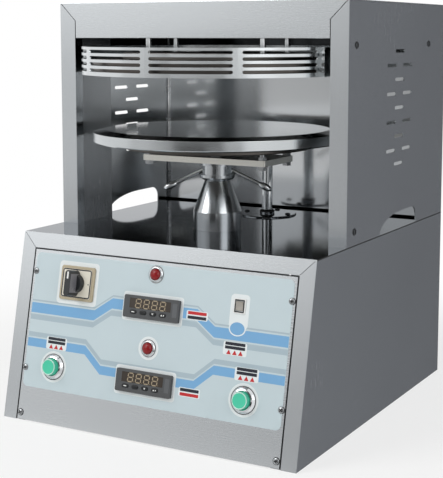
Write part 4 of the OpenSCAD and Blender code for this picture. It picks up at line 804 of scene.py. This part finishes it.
for angle in row["angles"]:
    a = math.radians(angle)
    place = (rodAxis[0] + row["r"] * math.cos(a), rodAxis[1] + row["r"] * math.sin(a), row["z"])
    flangeScrews.append((Matrix.Translation(place), angle / 3))

# Screw heads, in millimetres: a low dome on rings of points, sunk where the cross recess lies
screwHead = {
    "rings": (0.35, 0.7, 1.05, 1.4, 1.75, 2.1, 2.5, 2.9, 3.3, 3.6, 3.8), "steps": 48,
    "rise": 2.2, "dome": 4.1, "fullness": 0.8, "arm": 0.5, "reach": 2.2, "deep": 1.1, "runOut": 0.6,
    "edge": 0.2,
}


def headTop(x, y):
    r = math.hypot(x, y)
    top = screwHead["rise"] * math.sqrt(max(1 - (r / screwHead["dome"]) ** 2, 0)) ** screwHead["fullness"]
    if min(abs(x), abs(y)) < screwHead["arm"] and r < screwHead["reach"]:
        top -= screwHead["deep"] * (1 - r / screwHead["reach"] * screwHead["runOut"])
    return top


headRings = [disc(0, 0, r, screwHead["steps"]) for r in screwHead["rings"]]
headPoints = [[(0, 0, headTop(0, 0))]]
headPoints += [[(x, y, headTop(x, y)) for x, y in ring] for ring in headRings]
headPoints.append([(x, y, 0) for x, y in headRings[-1]])
# The cross recess's faces take black rubber, a painted shade in the recess
screwSlots = {"zinc": 0, "recess": 1, "black": 2}
screws = [(place, turn, "zinc") for place, turn in panelScrews]
# The screws in the sides, the back and the flange take the darker steel, a painted shade
screws += [(place, turn, "black") for place, turn in bodyScrews + flangeScrews]
made = bmesh.new()
for place, turn, finish in screws:
    spot = place @ Matrix.Rotation(math.radians(turn), 4, "Z")
    loops = [[made.verts.new(spot @ (Vector(corner) / 1000)) for corner in ring] for ring in headPoints]
    for near, far, r in zip(loops, loops[1:], (0,) + screwHead["rings"]):
        for i, face in enumerate(bridge(made, near, far)):
            a = 2 * math.pi * (i + 0.5) / screwHead["steps"]
            fromArm = min(abs(math.cos(a)), abs(math.sin(a))) * (r + screwHead["edge"])
            inRecess = fromArm < screwHead["arm"] and r < screwHead["reach"]
            face.material_index = screwSlots["recess" if inRecess else finish]
bmesh.ops.recalc_face_normals(made, faces=made.faces)
screwMesh = closeMesh(made, "crossScrews", zincSteel, rubberBlack, blackSteel)
addPiece("crossScrews", screwMesh, "frame", "sheet_screws")
# Black rings under the heads of the panel's and the body's screws, a painted shadow
washer = {"line": [(3.5, 0), (4.6, 0), (4.6, 0.22), (4.4, 0.32), (3.5, 0.32)], "steps": 40}
washerSpots = [place for place, turn in panelScrews + bodyScrews]
turnShape("screwWashers", washer["line"], washerSpots, "frame", rubberBlack, washer["steps"])
print("screws made")

# Six-sided polished beads in the hood's back corners, one flat turned to the front
bead = {"x": 0.2094, "y": 0.1664, "turn": math.radians(22), "sides": 6,
        "line": [(0, 242), (1.3, 242.2), (1.6, 243), (1.6, 529), (1.3, 529.8), (0, 530)]}
beadSpots = [Matrix.Translation((s * bead["x"], bead["y"], 0)) @ Matrix.Rotation(s * bead["turn"], 4, "Z")
             for s in (-1, 1)]
turnShape("cornerBeads", bead["line"], beadSpots, "frame", beadSteel, bead["sides"])

# Rubber wiper round the guide rod
wiper = {"line": [(7.7, 242), (7.7, 246.2), (8.2, 246.4), (9, 245.6), (10.2, 245.2), (10.7, 244.6),
                  (10.7, 243)],
         "steps": 56}
turnShape("rodWiper", wiper["line"], [Matrix.Translation(rodAxis)], "frame", rubberBlack, wiper["steps"])
print("beads and wiper made")
